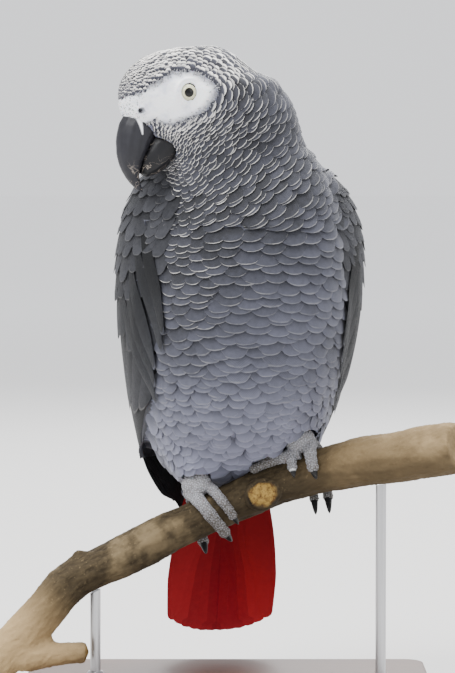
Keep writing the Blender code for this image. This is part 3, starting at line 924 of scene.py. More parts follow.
def bake_places(points):
    """Places on an unwrap of the bird: the angle round its upright axis, and the reach."""
    bird = form()
    local = transformed(BODY.inverted(), points) / MM
    turn = np.arctan2(local[:, 0], 15 - local[:, 1]) / (2 * math.pi) + 0.5
    reach = bird.reach[bird.nearest(points)] / 420
    return np.stack([0.004 + turn * 0.992, 0.004 + np.clip(reach, 0, 1) * 0.992], axis=1)


def spines_on_form(roots, sizes, rows, turn=None, follow=0.2):
    """Spines that start at the roots and go over the form for the given lengths.

    turn sets each one off the lie of the coat, and follow is how fast they come back to it.
    """
    bird = form()
    place, normal, index = bird.laid(roots)
    heading = bird.lie[index]
    if turn is not None:
        side = np.cross(normal, heading)
        heading = unit(heading + side * turn[:, None])
    spine, sides, normals = [], [], []
    for row in range(rows + 1):
        spine.append(place)
        normals.append(normal)
        sides.append(np.cross(normal, heading))
        if row < rows:
            place, normal, index = bird.laid(place + heading * (sizes / rows)[:, None])
            heading = heading * (1 - follow) + bird.lie[index] * follow
            heading = unit(heading - normal * (heading * normal).sum(axis=1)[:, None])
    return [np.stack(values, axis=1) for values in (spine, sides, normals)]


# ---------------------------------------------------------------- skin, eyes and bill


def ring_mesh(centre, axis, radius, thick, sides=28):
    """A torus round an axis, spun from a small circle."""
    bm = bmesh.new()
    section = bmesh.ops.create_circle(bm, segments=10, radius=thick)["verts"]
    upright = Matrix.Rotation(math.pi / 2, 4, "X")
    bmesh.ops.transform(bm, matrix=Matrix.Translation((radius, 0, 0)) @ upright, verts=section)
    bmesh.ops.spin(
        bm, geom=bm.verts[:] + bm.edges[:], cent=(0, 0, 0), axis=(0, 0, 1),
        angle=2 * math.pi, steps=sides, use_merge=True,
    )
    aim = Vector(axis).to_track_quat("Z", "Y").to_matrix().to_4x4()
    bmesh.ops.transform(bm, matrix=Matrix.Translation(centre) @ aim, verts=bm.verts)
    bmesh.ops.recalc_face_normals(bm, faces=bm.faces)
    return mesh_of(bm)


def eye_axis(side):
    """From the head's middle out through an eye."""
    return (HEAD.to_3x3() @ Vector((SIDES[side], 0, 0))).normalized()


def inset(mesh):
    """Moves a mesh in by the coat's depth."""
    bird = form()
    points = coordinates(mesh)
    depth = bird.depth[bird.nearest(points)]
    set_coordinates(mesh, points - vertex_normals(mesh) * depth[:, None])
    return mesh


def face_skin(settings):
    """The head with its lids and the rims of the nostrils, finely melted together."""
    parts = [mesh_of(node_bmesh("head"))]
    for side, sign in SIDES.items():
        axis = eye_axis(side)
        eye = node_centre(f"eye_{side}")
        inner, outer = settings.lid_radius, settings.lid_radius + 1.7 * MM
        parts.append(ring_mesh(eye + axis * 3.75 * MM, axis, inner, 0.8 * MM))
        parts.append(ring_mesh(eye + axis * 3.7 * MM, axis, outer, 0.75 * MM))
        x, y, z = NOSTRIL
        spot = HEAD @ (Vector((sign * x, y, z)) * MM)
        place, normal, _ = form().laid(np.array([tuple(spot)]))
        parts.append(ring_mesh(Vector(place[0]), normal[0], 1.75 * MM, 0.75 * MM))
    mesh = melted(joined(parts), settings.face_voxel, 3)
    points = coordinates(mesh)
    normals = vertex_normals(mesh)
    shift = grain_at(points, 900) * 0.05 * MM
    for sign in SIDES.values():
        spot = np.array(NOSTRIL) * (sign, 1, 1)
        gap = np.linalg.norm((head_places(points) - spot)[:, 1:], axis=1)
        gap = np.where(head_places(points)[:, 0] * sign > 4, gap, 9.0)
        shift -= 1.6 * MM * (1 - smoothstep(0.5, 1.8, gap))
    set_coordinates(mesh, points + normals * shift[:, None])
    return inset(mesh)


def perch_at(x):
    """The middle of the perch at a place along X, in metres."""
    places, *rows = zip(*PERCH_LINE)
    return Vector((x, *(np.interp(x, places, row) for row in rows))) * MM


def round_perch(x, slide, height, angle):
    """A point over the perch's bark: along it from x, so high, and so far round to the front."""
    centre = perch_at(x + slide)
    along = (perch_at(x + 4) - perch_at(x - 4)).normalized()
    front = Vector((0, -1, 0))
    front = (front - along * front.dot(along)).normalized()
    up = front.cross(along)
    up *= math.copysign(1, up.z)
    hit = tree_of("perch_branch").ray_cast(centre + up * 0.04, -up)[0]
    out = up * math.cos(angle) + front * math.sin(angle)
    return centre + out * ((hit - centre).length + height * MM), out, (front, up, along)


def toe_line(side, name):
    """Points from a toe's root to its claw's tip, and how many of them are the toe's own."""
    x, toes = FEET[side]
    start, end, arc, thick, length, curl = toes[name]
    count = 9
    points = []
    for t in np.linspace(0, 1, count):
        slide = start + (end - start) * t
        spot, out, (front, up, along) = round_perch(x, slide, thick, math.radians(arc * t))
        points.append(spot)
    angle, bend = math.radians(arc), math.copysign(1, arc)
    ahead = (front * math.cos(angle) - up * math.sin(angle)) * bend
    ahead = (ahead + along * (end - start) * 0.03).normalized()
    steps = 10
    for t in np.linspace(0, 0.9, steps):
        turn = math.radians(curl) * t
        onward = ahead * math.cos(turn) - out * math.sin(turn)
        points.append(points[-1] + onward * (length * MM / steps))
    return points, count


@lru_cache(maxsize=None)
def foot_form(side):
    """A shank, its knuckle and four toes with low swellings, finely melted together."""
    x, toes = FEET[side]
    ankle, _, (front, up, along) = round_perch(x, 0, 5.0, 0)
    turn = Matrix((along, front, up)).transposed().to_4x4()
    parts = [ball(ankle + (up * 1.8 + front * 3.0) * MM, (7.6 * MM, 6.8 * MM, 6.6 * MM), turn)]
    top = ankle + (up * 18 - front * 12) * MM
    parts.append(tube([ankle, ankle.lerp(top, 0.5), top], [4.6 * MM, 4.2 * MM, 4.4 * MM]))
    for name, (_, _, _, thick, _, _) in toes.items():
        points, count = toe_line(side, name)
        points = points[:count + 4]
        share = np.linspace(0, 1, len(points))
        radii = thick * MM * (1.04 - 0.26 * share) * (1 + 0.06 * np.cos(share * 8 * math.pi))
        parts.append(tube(points, radii))
        parts.append(ball(points[-1], (radii[-1] * 1.02,) * 3))
    if side == "left":
        slides = np.linspace(-1, -24, 9)
        line = [round_perch(x, slide, 2.4, math.radians(26))[0] for slide in slides]
        radii = np.linspace(3.5, 2.3, 9) * (1 + 0.07 * np.cos(slides * 0.8)) * MM
        parts.append(tube(line, radii))
        parts.append(ball(line[-1], (radii[-1],) * 3))
    return melted(joined(parts), bpy.context.scene.parrot_skin.foot_voxel, 2)


def foot_powder(points):
    """How pale the feet are: 1 on their knuckles, less towards the ends of the toes."""
    knuckles = [np.array(round_perch(x, 0, 6, math.radians(30))[0]) for x, _ in FEET.values()]
    gap = np.min([np.linalg.norm(points - knuckle, axis=1) for knuckle in knuckles], axis=0) / MM
    return smoothstep(20, 5, gap)


@lru_cache(maxsize=None)
def feet_tree():
    bm = bmesh.new()
    for side in SIDES:
        bm.from_mesh(foot_form(side))
    return BVHTree.FromBMesh(bm)


def foot_skin(side):
    """One foot, with the fine grain of its skin."""
    mesh = foot_form(side).copy()
    points = coordinates(mesh)
    shift = (grain_at(points, 700) * 0.07 - 0.1) * MM
    set_coordinates(mesh, points + vertex_normals(mesh) * shift[:, None])
    return mesh


def body_tone(points):
    """How pale the coat is at each place, 0 slate to 1 ash, and how strong its rims are."""
    bird = form()
    index = bird.nearest(points)
    reach = bird.reach[index]
    local = transformed(BODY.inverted(), points) / MM
    height = local[:, 2]
    tone = np.interp(reach, (0, 20, 45, 80, 130), (0.2, 0.12, 0.08, 0.17, 0.31))
    tone += 0.62 * smoothstep(190, 118, height) * smoothstep(34, 4, local[:, 1])
    tone += 0.06 * smoothstep(255, 200, height)
    places = (0, 30, 60, 85, 110, 150, 200)
    rim = np.interp(reach, places, (1.0, 0.66, 0.36, 0.13, 0.08, 0.06, 0.06))
    head = head_places(points)
    crown = smoothstep(-6, 8, head[:, 2]) * smoothstep(62, 40, np.abs(head[:, 1]))
    tone += 0.03 * crown
    rim += 0.6 * crown
    tone = np.where(bird.owner[index] == WING, 0.1, tone)
    near_face = smoothstep(-7, -0.5, bird.bare[index])
    tone += 0.2 * near_face
    return np.clip(tone, 0, 1), np.clip(rim, 0, 1)


def make_skin(settings):
    """One skin for head, neck, trunk, wings and legs, under the feathers and on face and feet."""
    bird = form()
    under_head = smoothstep(70, 20, bird.reach) * MM
    core = bird.mesh.copy()
    sink = bird.depth + bird.spread(under_head, 3)
    set_coordinates(core, bird.points - bird.normals * sink[:, None])
    body = placed("body", core)
    tools = []
    for mesh in (face_skin(settings), foot_skin("left"), foot_skin("right")):
        tool = placed("tool", mesh)
        tools.append(tool)
        union = body.modifiers.new("union", "BOOLEAN")
        union.operation = "UNION"
        union.solver = "MANIFOLD"
        union.object = tool
    shown = body.evaluated_get(bpy.context.evaluated_depsgraph_get())
    mesh = bpy.data.meshes.new_from_object(shown)
    for helper in tools + [body]:
        bpy.data.objects.remove(helper)
    mesh = largest_shell(mesh)
    points = coordinates(mesh)
    edge = face_edge(points)
    local = head_places(points)
    forward = local[:, 1]
    nostril = np.linalg.norm((local - np.array(NOSTRIL))[:, 1:], axis=1)
    nostril += 9 * (np.abs(local[:, 0]) < 4)
    index = bird.nearest(points)
    set_attribute(mesh, "face", smoothstep(-2.2, 0.5, edge))
    set_attribute(mesh, "brink", smoothstep(3.0, -0.5, edge) * smoothstep(-24, -14, forward))
    set_attribute(mesh, "foot", smoothstep(0.9, 0.5, distances(points, feet_tree()) / MM))
    # Mask of the nostril's hole, for the painted shade in it.
    set_attribute(mesh, "nostril", smoothstep(1.9, 0.8, nostril))
    set_attribute(mesh, "cere", smoothstep(-18, -26, forward) * smoothstep(60, 40, np.abs(forward)))
    tone, rim = body_tone(points)
    set_attribute(mesh, "tone", np.clip(tone + 0.5 * rim * (bird.owner[index] != WING), 0, 1))
    set_attribute(mesh, "powder", foot_powder(points))
    material = skin_finish(settings)
    nodes = ["head", "neck", "trunk", "wing_left", "wing_right", "leg_left", "leg_right"]
    return piece("skin", mesh, material, nodes)


def skin_finish(settings):
    coat = bpy.context.scene.parrot_coat
    f = Finish("Skin", 0.62, subsurface_weight=0.08, subsurface_scale=0.002, specular_ior_level=0.3)
    here = f.coordinates()
    fine = f.noise(here, 700, 3.0)
    broad = f.noise(here, 130, 3.0)
    down = f.mix(f.attribute("tone"), coat.slate, coat.ash)
    specks = f.band(f.noise(here, 1150, 1.0), 0.55, 0.66) * f.attribute("cere")
    # Painted shade: soft bluish-grey mottling from the broad noise on the white face.
    face = f.mix(broad * 0.35, settings.face, linear(206, 208, 218))
    face = f.mix(f.attribute("brink") * (0.2 + fine * 0.8), face, linear(96, 98, 110))
    # More of the painted bluish-grey shade, where the broad noise is high.
    face = f.mix(f.band(broad, 0.5, 0.75) * 0.5, face, linear(168, 174, 196))
    face = f.mix(specks * 0.7, face, linear(70, 68, 70))
    # Painted shade: the nostril's sunk hole is painted dark grey.
    face = f.mix(f.attribute("nostril"), face, linear(44, 44, 48))
    cells = f.node("TexVoronoi", {"feature": "F1"}, {"Vector": here, "Scale": 760.0})
    pale = f.band(cells, 0.55, 0.15) * 0.3 + fine * 0.5 - 0.3 + f.attribute("powder") * 0.5
    foot = f.mix(pale, settings.foot, settings.scale)
    bare = f.mix(f.attribute("foot"), face, foot)
    shown = f.maximum(f.attribute("face"), f.attribute("foot"))
    inputs = {"Vector": here, "Scale": 620.0}
    creases = f.node("TexVoronoi", {"feature": "DISTANCE_TO_EDGE"}, inputs)
    relief = f.ramp(creases, (0.0, 0.0), (0.25, 1.0)) * 0.6 + fine * 0.5
    painted = f.mix(shown, down, bare)
    return f.feed(base_color=painted, normal=f.bump(relief, 0.00018, 0.5))


def make_eye(side, settings):
    """An eyeball with a clear bulge over the iris."""
    centre = node_centre(f"eye_{side}")
    axis = (eye_axis(side) + HEAD.to_3x3() @ Vector((0, -0.17, 0.0))).normalized()
    radius = (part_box(f"eye_{side}")[1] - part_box(f"eye_{side}")[0]).z / 2
    bm = bmesh.new()
    bmesh.ops.create_uvsphere(bm, u_segments=64, v_segments=40, radius=radius)
    aim = Vector(axis).to_track_quat("Z", "Y").to_matrix().to_4x4()
    for vert in bm.verts:
        off = math.hypot(vert.co.x, vert.co.y)
        if vert.co.z > 0:
            vert.co.z += 0.35 * MM * max(0.0, 1 - (off / settings.iris_radius) ** 2)
    bmesh.ops.transform(bm, matrix=Matrix.Translation(centre) @ aim, verts=bm.verts)
    mesh = mesh_of(bm)
    offset = coordinates(mesh) - np.array(centre)
    out = offset @ np.array(axis)
    around = np.linalg.norm(offset - out[:, None] * np.array(axis), axis=1)
    around = np.where(out > 0, around, 1.0)
    set_attribute(mesh, "ring", around / MM)
    f = Finish("Eye", 0.12, coat_weight=0.25, coat_roughness=0.02, specular_ior_level=0.2)
    ring = f.attribute("ring")
    iris_edge, pupil = settings.iris_radius / MM, settings.pupil_radius / MM
    grain = f.noise(f.coordinates(), 1500, 3.0)
    iris = f.mix(grain, settings.iris, linear(184, 182, 150))
    iris = f.mix(f.band(ring, pupil + 0.55, pupil) * 0.5, iris, linear(120, 116, 96))
    groove = f.band(ring, pupil + 0.75, pupil + 0.95) * f.band(ring, pupil + 1.2, pupil + 1.0)
    iris = f.mix(groove * 0.55, iris, linear(110, 108, 92))
    shown = f.mix(f.band(ring, pupil - 0.08, pupil + 0.08), linear(7, 7, 8), iris)
    shown = f.mix(f.band(ring, iris_edge - 0.3, iris_edge), shown, linear(44, 42, 42))
    return piece(f"eyeball_{side}", mesh, f.feed(base_color=shown), [f"eye_{side}"])


def scaled(tint, share):
    """A colour made darker or lighter by a share."""
    return tuple(value * share for value in tint)


def horn_finish(name, base, worn, wear=1.0):
    """Dull horn with streaks, and pale worn cracks where the attribute flake is high."""
    f = Finish(name, 0.45, coat_weight=0.06, coat_roughness=0.3, specular_ior_level=0.25)
    here = f.coordinates()
    warp = f.noise(here, 140, 3.0)
    streaks = f.noise(f.coordinates((260, 260, 60)), 1.0, 4.0)
    flakes = f.noise(f.coordinates((1, 1, 1.7)), 95, 3.0, 0.5, 1.1)
    crack = f.node("Math", {"operation": "ABSOLUTE"}, {0: flakes - 0.5})
    crack = f.band(crack, 0.011, 0.0) * f.attribute("flake") * wear
    dusty = f.band(warp, 0.42, 0.75) * 0.3
    colour = f.mix(streaks * 0.8 + dusty * 0.4, scaled(base, 0.4), scaled(base, 2.3))
    colour = f.mix(crack * 0.75, colour, worn)
    colour = f.mix(f.attribute("cere"), colour, tuple(bpy.context.scene.parrot_skin.face))
    relief = streaks * 0.5 + warp * 0.7 - crack * 0.6
    rough = f.node("MapRange", {}, {"Value": streaks, "To Min": 0.36, "To Max": 0.62})
    return f.feed(base_color=colour, roughness=rough, normal=f.bump(relief, 0.0002, 0.5))


def make_bill(settings):
    """Both halves of the bill, smooth and rounded, each its own piece."""
    made = []
    for half in ("bill_upper", "bill_lower"):
        mesh = melted(mesh_of(node_bmesh(half, 0.2 * MM)), 0.45 * MM, 14)
        points = coordinates(mesh)
        local = head_places(points)
        ridges = grain_at(points, 260)
        layers = np.sin(local[:, 2] * 1.9 + ridges * 2.5) * smoothstep(-16, -40, local[:, 2])
        shift = (ridges * 0.12 + layers * 0.035) * MM
        set_coordinates(mesh, points + vertex_normals(mesh) * shift[:, None])
        upper = half == "bill_upper"
        if upper:
            flaked = smoothstep(-26, -38, local[:, 2])
        else:
            flaked = smoothstep(2.6, 0.8, distances(points, tree_of("bill_upper")) / MM)
            flaked = np.maximum(flaked, 0.7 * smoothstep(-27, -32, local[:, 2]))
        set_attribute(mesh, "flake", flaked)
        cere = smoothstep(-0.2, 0.3, outline_distance(local[:, 1:], CERE))
        set_attribute(mesh, "cere", cere * upper)
        # Painted shade: the lower bill is painted at 0.35 of the upper bill's horn colour, for the
        # shade under the upper bill.
        base = scaled(settings.bill, 1.0 if upper else 0.35)
        material = horn_finish(f"Horn {half}", base, settings.worn)
        made.append(piece(half.replace("bill", "horn"), mesh, material, [half]))
    return made


# ---------------------------------------------------------------- contour feathers


def contour_rows():
    """Roots of the contour feathers, row by row away from the bill."""
    bird = form()
    random = np.random.default_rng(ROW_SEED)
    roots = []
    for values, zone in bird.rows:
        for level in np.arange(0.15, values.max() - 1.5):
            for loop in bird.contour(values, level):
                index = bird.nearest(loop)
                points = resampled(loop, bird.half[index] * 1.25, random.uniform(0, 1))
                if len(points) == 0:
                    continue
                points = points[zone[bird.nearest(points)]]
                roots.append(points + random.uniform(-0.3, 0.3, points.shape) * MM)
    return filled(np.vstack(roots), random)


def filled(roots, random):
    """The roots, with more of them where the rows have left a hole."""
    bird = form()
    tree = KDTree(len(roots) + len(bird.points))
    for number, root in enumerate(roots):
        tree.insert(root, number)
    tree.balance()
    gap = np.array([tree.find(p)[2] for p in bird.points.tolist()])
    holes = np.nonzero(gap > 1.25 * np.maximum(bird.pitch, bird.half))[0]
    extra = []
    for i in random.permutation(holes):
        place = bird.points[i]
        space = 1.3 * bird.pitch[i]
        if all(np.linalg.norm(place - other) > space for other in extra):
            extra.append(place)
    return np.vstack([roots, *extra]) if extra else roots


def make_contour_feathers(settings):
    """Feathers of head, neck, breast, belly and back, in rows that follow the bird's form."""
    bird = form()
    roots = contour_rows()
    index = bird.nearest(roots)
    pitch = bird.pitch[index]
    owner, bare = bird.owner[index], bird.bare[index]
    from_perch = distances(roots, tree_of("perch_branch"))
    from_flesh = distances(roots, tree_of(*OWNERS[FLESH]))
    keep = (bare < -0.3) & (from_perch > 1.2 * MM)
    shoulder = (owner == WING) & (from_flesh < 0.35 * MM) & (bird.height[index] > 205)
    keep &= (owner == FLESH) | shoulder
    from_bill = distances(roots, tree_of("bill_upper", "bill_lower"))
    keep &= from_bill > 0.25 * MM
    roots, pitch, index = roots[keep], pitch[keep], index[keep]
    random = np.random.default_rng(settings.seed)
    reach = bird.reach[index]
    local = transformed(BODY.inverted(), roots) / MM
    belly = smoothstep(200, 140, local[:, 2]) * smoothstep(40, 10, local[:, 1])
    tone, rim = body_tone(roots)
    size = pitch * (2.4 + 0.3 * belly) * random.uniform(0.84, 1.18, len(roots))
    half = bird.half[index] * random.uniform(0.82, 1.14, len(roots)) * (1 - 0.3 * belly)
    stray = random.normal(0, 0.09, len(roots)) * (1 + 2.2 * belly)
    depth = bird.depth[index]
    up = smoothstep(-6, 4, head_places(roots)[:, 2]) * smoothstep(66, 50, reach)
    lift = (0.03 * pitch + 0.03 * MM) * random.uniform(0.3, 1.6, len(roots)) * (1 + 0.5 * up)
    tilt = random.uniform(-1, 1, len(roots)) * pitch * 0.025
    sink = depth + 0.05 * pitch
    hem = np.interp(reach, (0, 45, 70, 120), (0.34, 0.42, 0.55, 0.9)) * MM
    hem = hem * (1 - up) + 0.46 * pitch * up
    hem = hem * (1 - belly) + 1.0 * MM * belly
    hem += 0.6 * pitch * smoothstep(-6, 0, bare[keep]) * smoothstep(-30, -20, head_places(roots)[:, 1])
    rim = rim * random.uniform(0.6, 1.15, len(roots))
    hem *= random.uniform(0.7, 1.3, len(roots))
    arc = (0.36 + 0.2 * up) * half / size
    arc *= random.uniform(0.75, 1.3, len(roots))
    fray = 0.012 + 0.035 * belly
    thick = np.clip(0.04 * pitch, 0.05 * MM, 0.13 * MM)
    zones = (
        ("feathers_face", reach < 27, vane(4, 5)),
        ("feathers_head", (reach >= 27) & (reach < 50), vane(6, 5)),
        ("feathers_neck", (reach >= 50) & (reach < 95), vane(8, 6)),
        ("feathers_breast", (reach >= 95) & (local[:, 1] < 18), vane(10, 7)),
        ("feathers_back", (reach >= 95) & (local[:, 1] >= 18), vane(8, 7)),
    )
    material = vane_finish("Contour feathers", settings.slate, settings.ash, settings.rim)
    made = []
    for name, zone, shape in zones:
        coat = Coat(settings.seed + len(name))
        spine, side, normal = spines_on_form(roots[zone], size[zone], shape.rows, stray[zone])
        clear = distances(spine.reshape(-1, 3), feet_tree()).reshape(len(spine), -1)
        clear = clear.min(axis=1) > 2.0 * MM
        zone = np.nonzero(zone)[0][clear]
        spine, side, normal = spine[clear], side[clear], normal[clear]
        low, top, roll = sink[zone][:, None], lift[zone][:, None], tilt[zone][:, None]
        wide = half[zone][:, None]
        fluff = belly[zone][:, None]

        def height(across, along, low=low, top=top, roll=roll, wide=wide, fluff=fluff):
            arch = wide * (0.06 * ((1 - across**2) * along - 1) - 0.07 * across**6 * along**2)
            wave = wide * 0.03 * fluff * np.sin(across * 4 + roll * 9e4)
            return top * along**1.5 - low * (1 - along) ** 1.3 + arch + roll * across + wave

        coat.add(
            shape, spine, side, normal, half[zone], height, laid=True, fray=fray[zone],
            tone=tone[zone], rim=rim[zone], hem=hem[zone], rounding=arc[zone],
            thickness=thick[zone],
        )
        made.append(coat.made(name, material, "grey_coat"))
    made.append(make_fringe(settings))
    return made


def make_fringe(settings):
    """Tiny sparse feathers that fade out over the edge of the bare face."""
    bird = form()
    random = np.random.default_rng(settings.seed + 3)
    corners = bird.points[bird.triangles]
    middle = bird.bare[bird.triangles].mean(axis=1)
    near = np.nonzero((middle > -1.5) & (middle < 3.6))[0]
    pick = random.choice(near, FRINGE_TRIES)
    share = random.dirichlet((1, 1, 1), len(pick))
    roots = (corners[pick] * share[..., None]).sum(axis=1)
    edge = face_edge(roots)
    local = head_places(roots)
    behind = smoothstep(-22, -12, local[:, 1])
    likely = (0.5 + 0.3 * behind) * smoothstep(2.6, -0.6, edge / (0.3 + 0.7 * behind))
    keep = random.uniform(0, 1, len(roots)) < likely
    keep &= np.linalg.norm(local[:, 1:], axis=1) > 7.5
    roots = roots[keep]
    count = len(roots)
    size = random.uniform(0.9, 1.8, count) * MM
    coat = Coat(settings.seed + 4)
    spine, side, normal = spines_on_form(roots, size, 3, random.normal(0, 0.6, count))

    def height(across, along):
        return (0.1 * along - 0.2 * (1 - along)) * MM + 0 * across

    coat.add(
        vane(2, 3), spine, side, normal, random.uniform(0.13, 0.24, count) * MM, height, laid=True,
        tone=random.uniform(0.2, 1.0, count), rim=0.6, hem=0.5 * MM, taper=0.7, thickness=0.05 * MM,
    )
    greys = linear(112, 114, 124), linear(214, 215, 220)
    material = vane_finish("Fringe feathers", *greys, settings.rim)
    return coat.made("feathers_fringe", material, "grey_coat")


# ---------------------------------------------------------------- wings


class WingForm:
    """A folded wing's outer face as a grid: across from its front edge to its back edge, 0 to
    1, and down from the shoulder to the tip, 0 to 1."""

    COLUMNS = 20
    ROWS = 44

    def __init__(self, side):
        self.sign = SIDES[side]
        tree = tree_of(f"wing_{side}")
        low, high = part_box(f"wing_{side}")
        heights = np.linspace(high.z / MM - 1.2, low.z / MM + 1.5, self.ROWS + 1)
        line_z, line_y = np.array(WING_LINE).T
        middle = np.interp(heights, line_z[::-1], line_y[::-1])
        self.length = (high.z - low.z) * 1.12
        fronts, backs = [], []
        for height, y in zip(heights, middle):
            hits = [a for a in range(-70, 112, 2) if self.outer(tree, height, y, a) is not None]
            fronts.append(min(hits) if hits else np.nan)
            backs.append(max(hits) if hits else np.nan)
        fronts, backs = (self.settled(np.array(v, float)) for v in (fronts, backs))
        grid = np.zeros((self.ROWS + 1, self.COLUMNS + 1, 3))
        for j, (height, y) in enumerate(zip(heights, middle)):
            for i in range(self.COLUMNS + 1):
                share = 0.02 + 0.96 * i / self.COLUMNS
                angle = fronts[j] + (backs[j] - fronts[j]) * share
                hit = self.outer(tree, height, y, angle)
                if hit is None:
                    hit = grid[j, i - 1] if i else grid[j - 1, i]
                grid[j, i] = hit
        for _ in range(2):
            grid[1:-1] = (grid[:-2] + 2 * grid[1:-1] + grid[2:]) / 4
            grid[:, 1:-1] = (grid[:, :-2] + 2 * grid[:, 1:-1] + grid[:, 2:]) / 4
        self.grid = grid
        across = np.gradient(grid, axis=1)
        down = np.gradient(grid, axis=0)
        normals = unit(np.cross(across, down))
        outward = grid - np.array(BODY @ (Vector((0, 20, 160)) * MM))
        flip = np.sign((normals * outward).sum(axis=-1).mean())
        self.normals = normals * flip
        self.across = unit(across)

    @staticmethod
    def settled(values):
        rows = np.arange(len(values))
        good = ~np.isnan(values)
        values = np.interp(rows, rows[good], values[good])
        padded = np.pad(values, 2, mode="edge")
        return (padded[:-4] + 2 * padded[1:-3] + 3 * padded[2:-2] + 2 * padded[3:-1] + padded[4:]) / 9

    def outer(self, tree, height, middle, angle):
        """Where a line of sight from outside, level with the body's axis, meets the wing."""
        a = math.radians(angle)
        away = Vector((self.sign * math.cos(a), math.sin(a), 0))
        axis = Vector((0, middle, height)) * MM
        start = BODY @ (axis + away * 0.2)
        hit = tree.ray_cast(start, -(BODY.to_3x3() @ away), 0.2)[0]
        return None if hit is None else np.array(hit)

    def at(self, across, down):
        """Places, across directions and normals at grid positions, which may run past the ends."""
        x = across * self.COLUMNS
        y = down * self.ROWS
        i = np.clip(np.floor(x).astype(int), 0, self.COLUMNS - 1)
        j = np.clip(np.floor(y).astype(int), 0, self.ROWS - 1)
        u, v = (x - i)[..., None], (y - j)[..., None]

        def between(values):
            top = values[j, i] * (1 - u) + values[j, i + 1] * u
            low = values[j + 1, i] * (1 - u) + values[j + 1, i + 1] * u
            return top * (1 - v) + low * v

        return between(self.grid), unit(between(self.across)), unit(between(self.normals))


def wing_feathers(coat, wing, shape, across, down, length, half, low, top, drift=0.0, **look):
    """One group of wing feathers rooted at grid positions.

    low and top are the heights of root and tip over the wing's face; drift is how far across
    the wing the tips have moved.
    """
    steps = np.linspace(0, 1, shape.rows + 1)
    spread = across[:, None] + drift * steps
    path = down[:, None] + (length / wing.length)[:, None] * steps
    spine, side, normal = wing.at(spread, path)
    bend = look.pop("bend", 45 * MM)
    lean = look.pop("lean", 0.0)
    wide = half[:, None]

    def height(u, v):
        drop = (u * wide) ** 2 / (2 * bend)
        arch = wide * 0.07 * (1 - u * u)
        return low[:, None] * (1 - v) + top[:, None] * v + arch - drop + lean * u

    coat.add(shape, spine, side, normal, half, height, **look)


def wing_finishes(settings):
    """The materials of coverts and flight feathers."""
    webs = {"roughness": 0.55, "sheen": 0.04, "gloss": 0.15, "rim_gain": 0.6}
    coat = settings.slate, linear(112, 113, 120), settings.rim
    dark = settings.flight, linear(84, 86, 94), settings.ash
    return vane_finish("Wing coverts", *coat, **webs), vane_finish("Flight feathers", *dark, **webs)


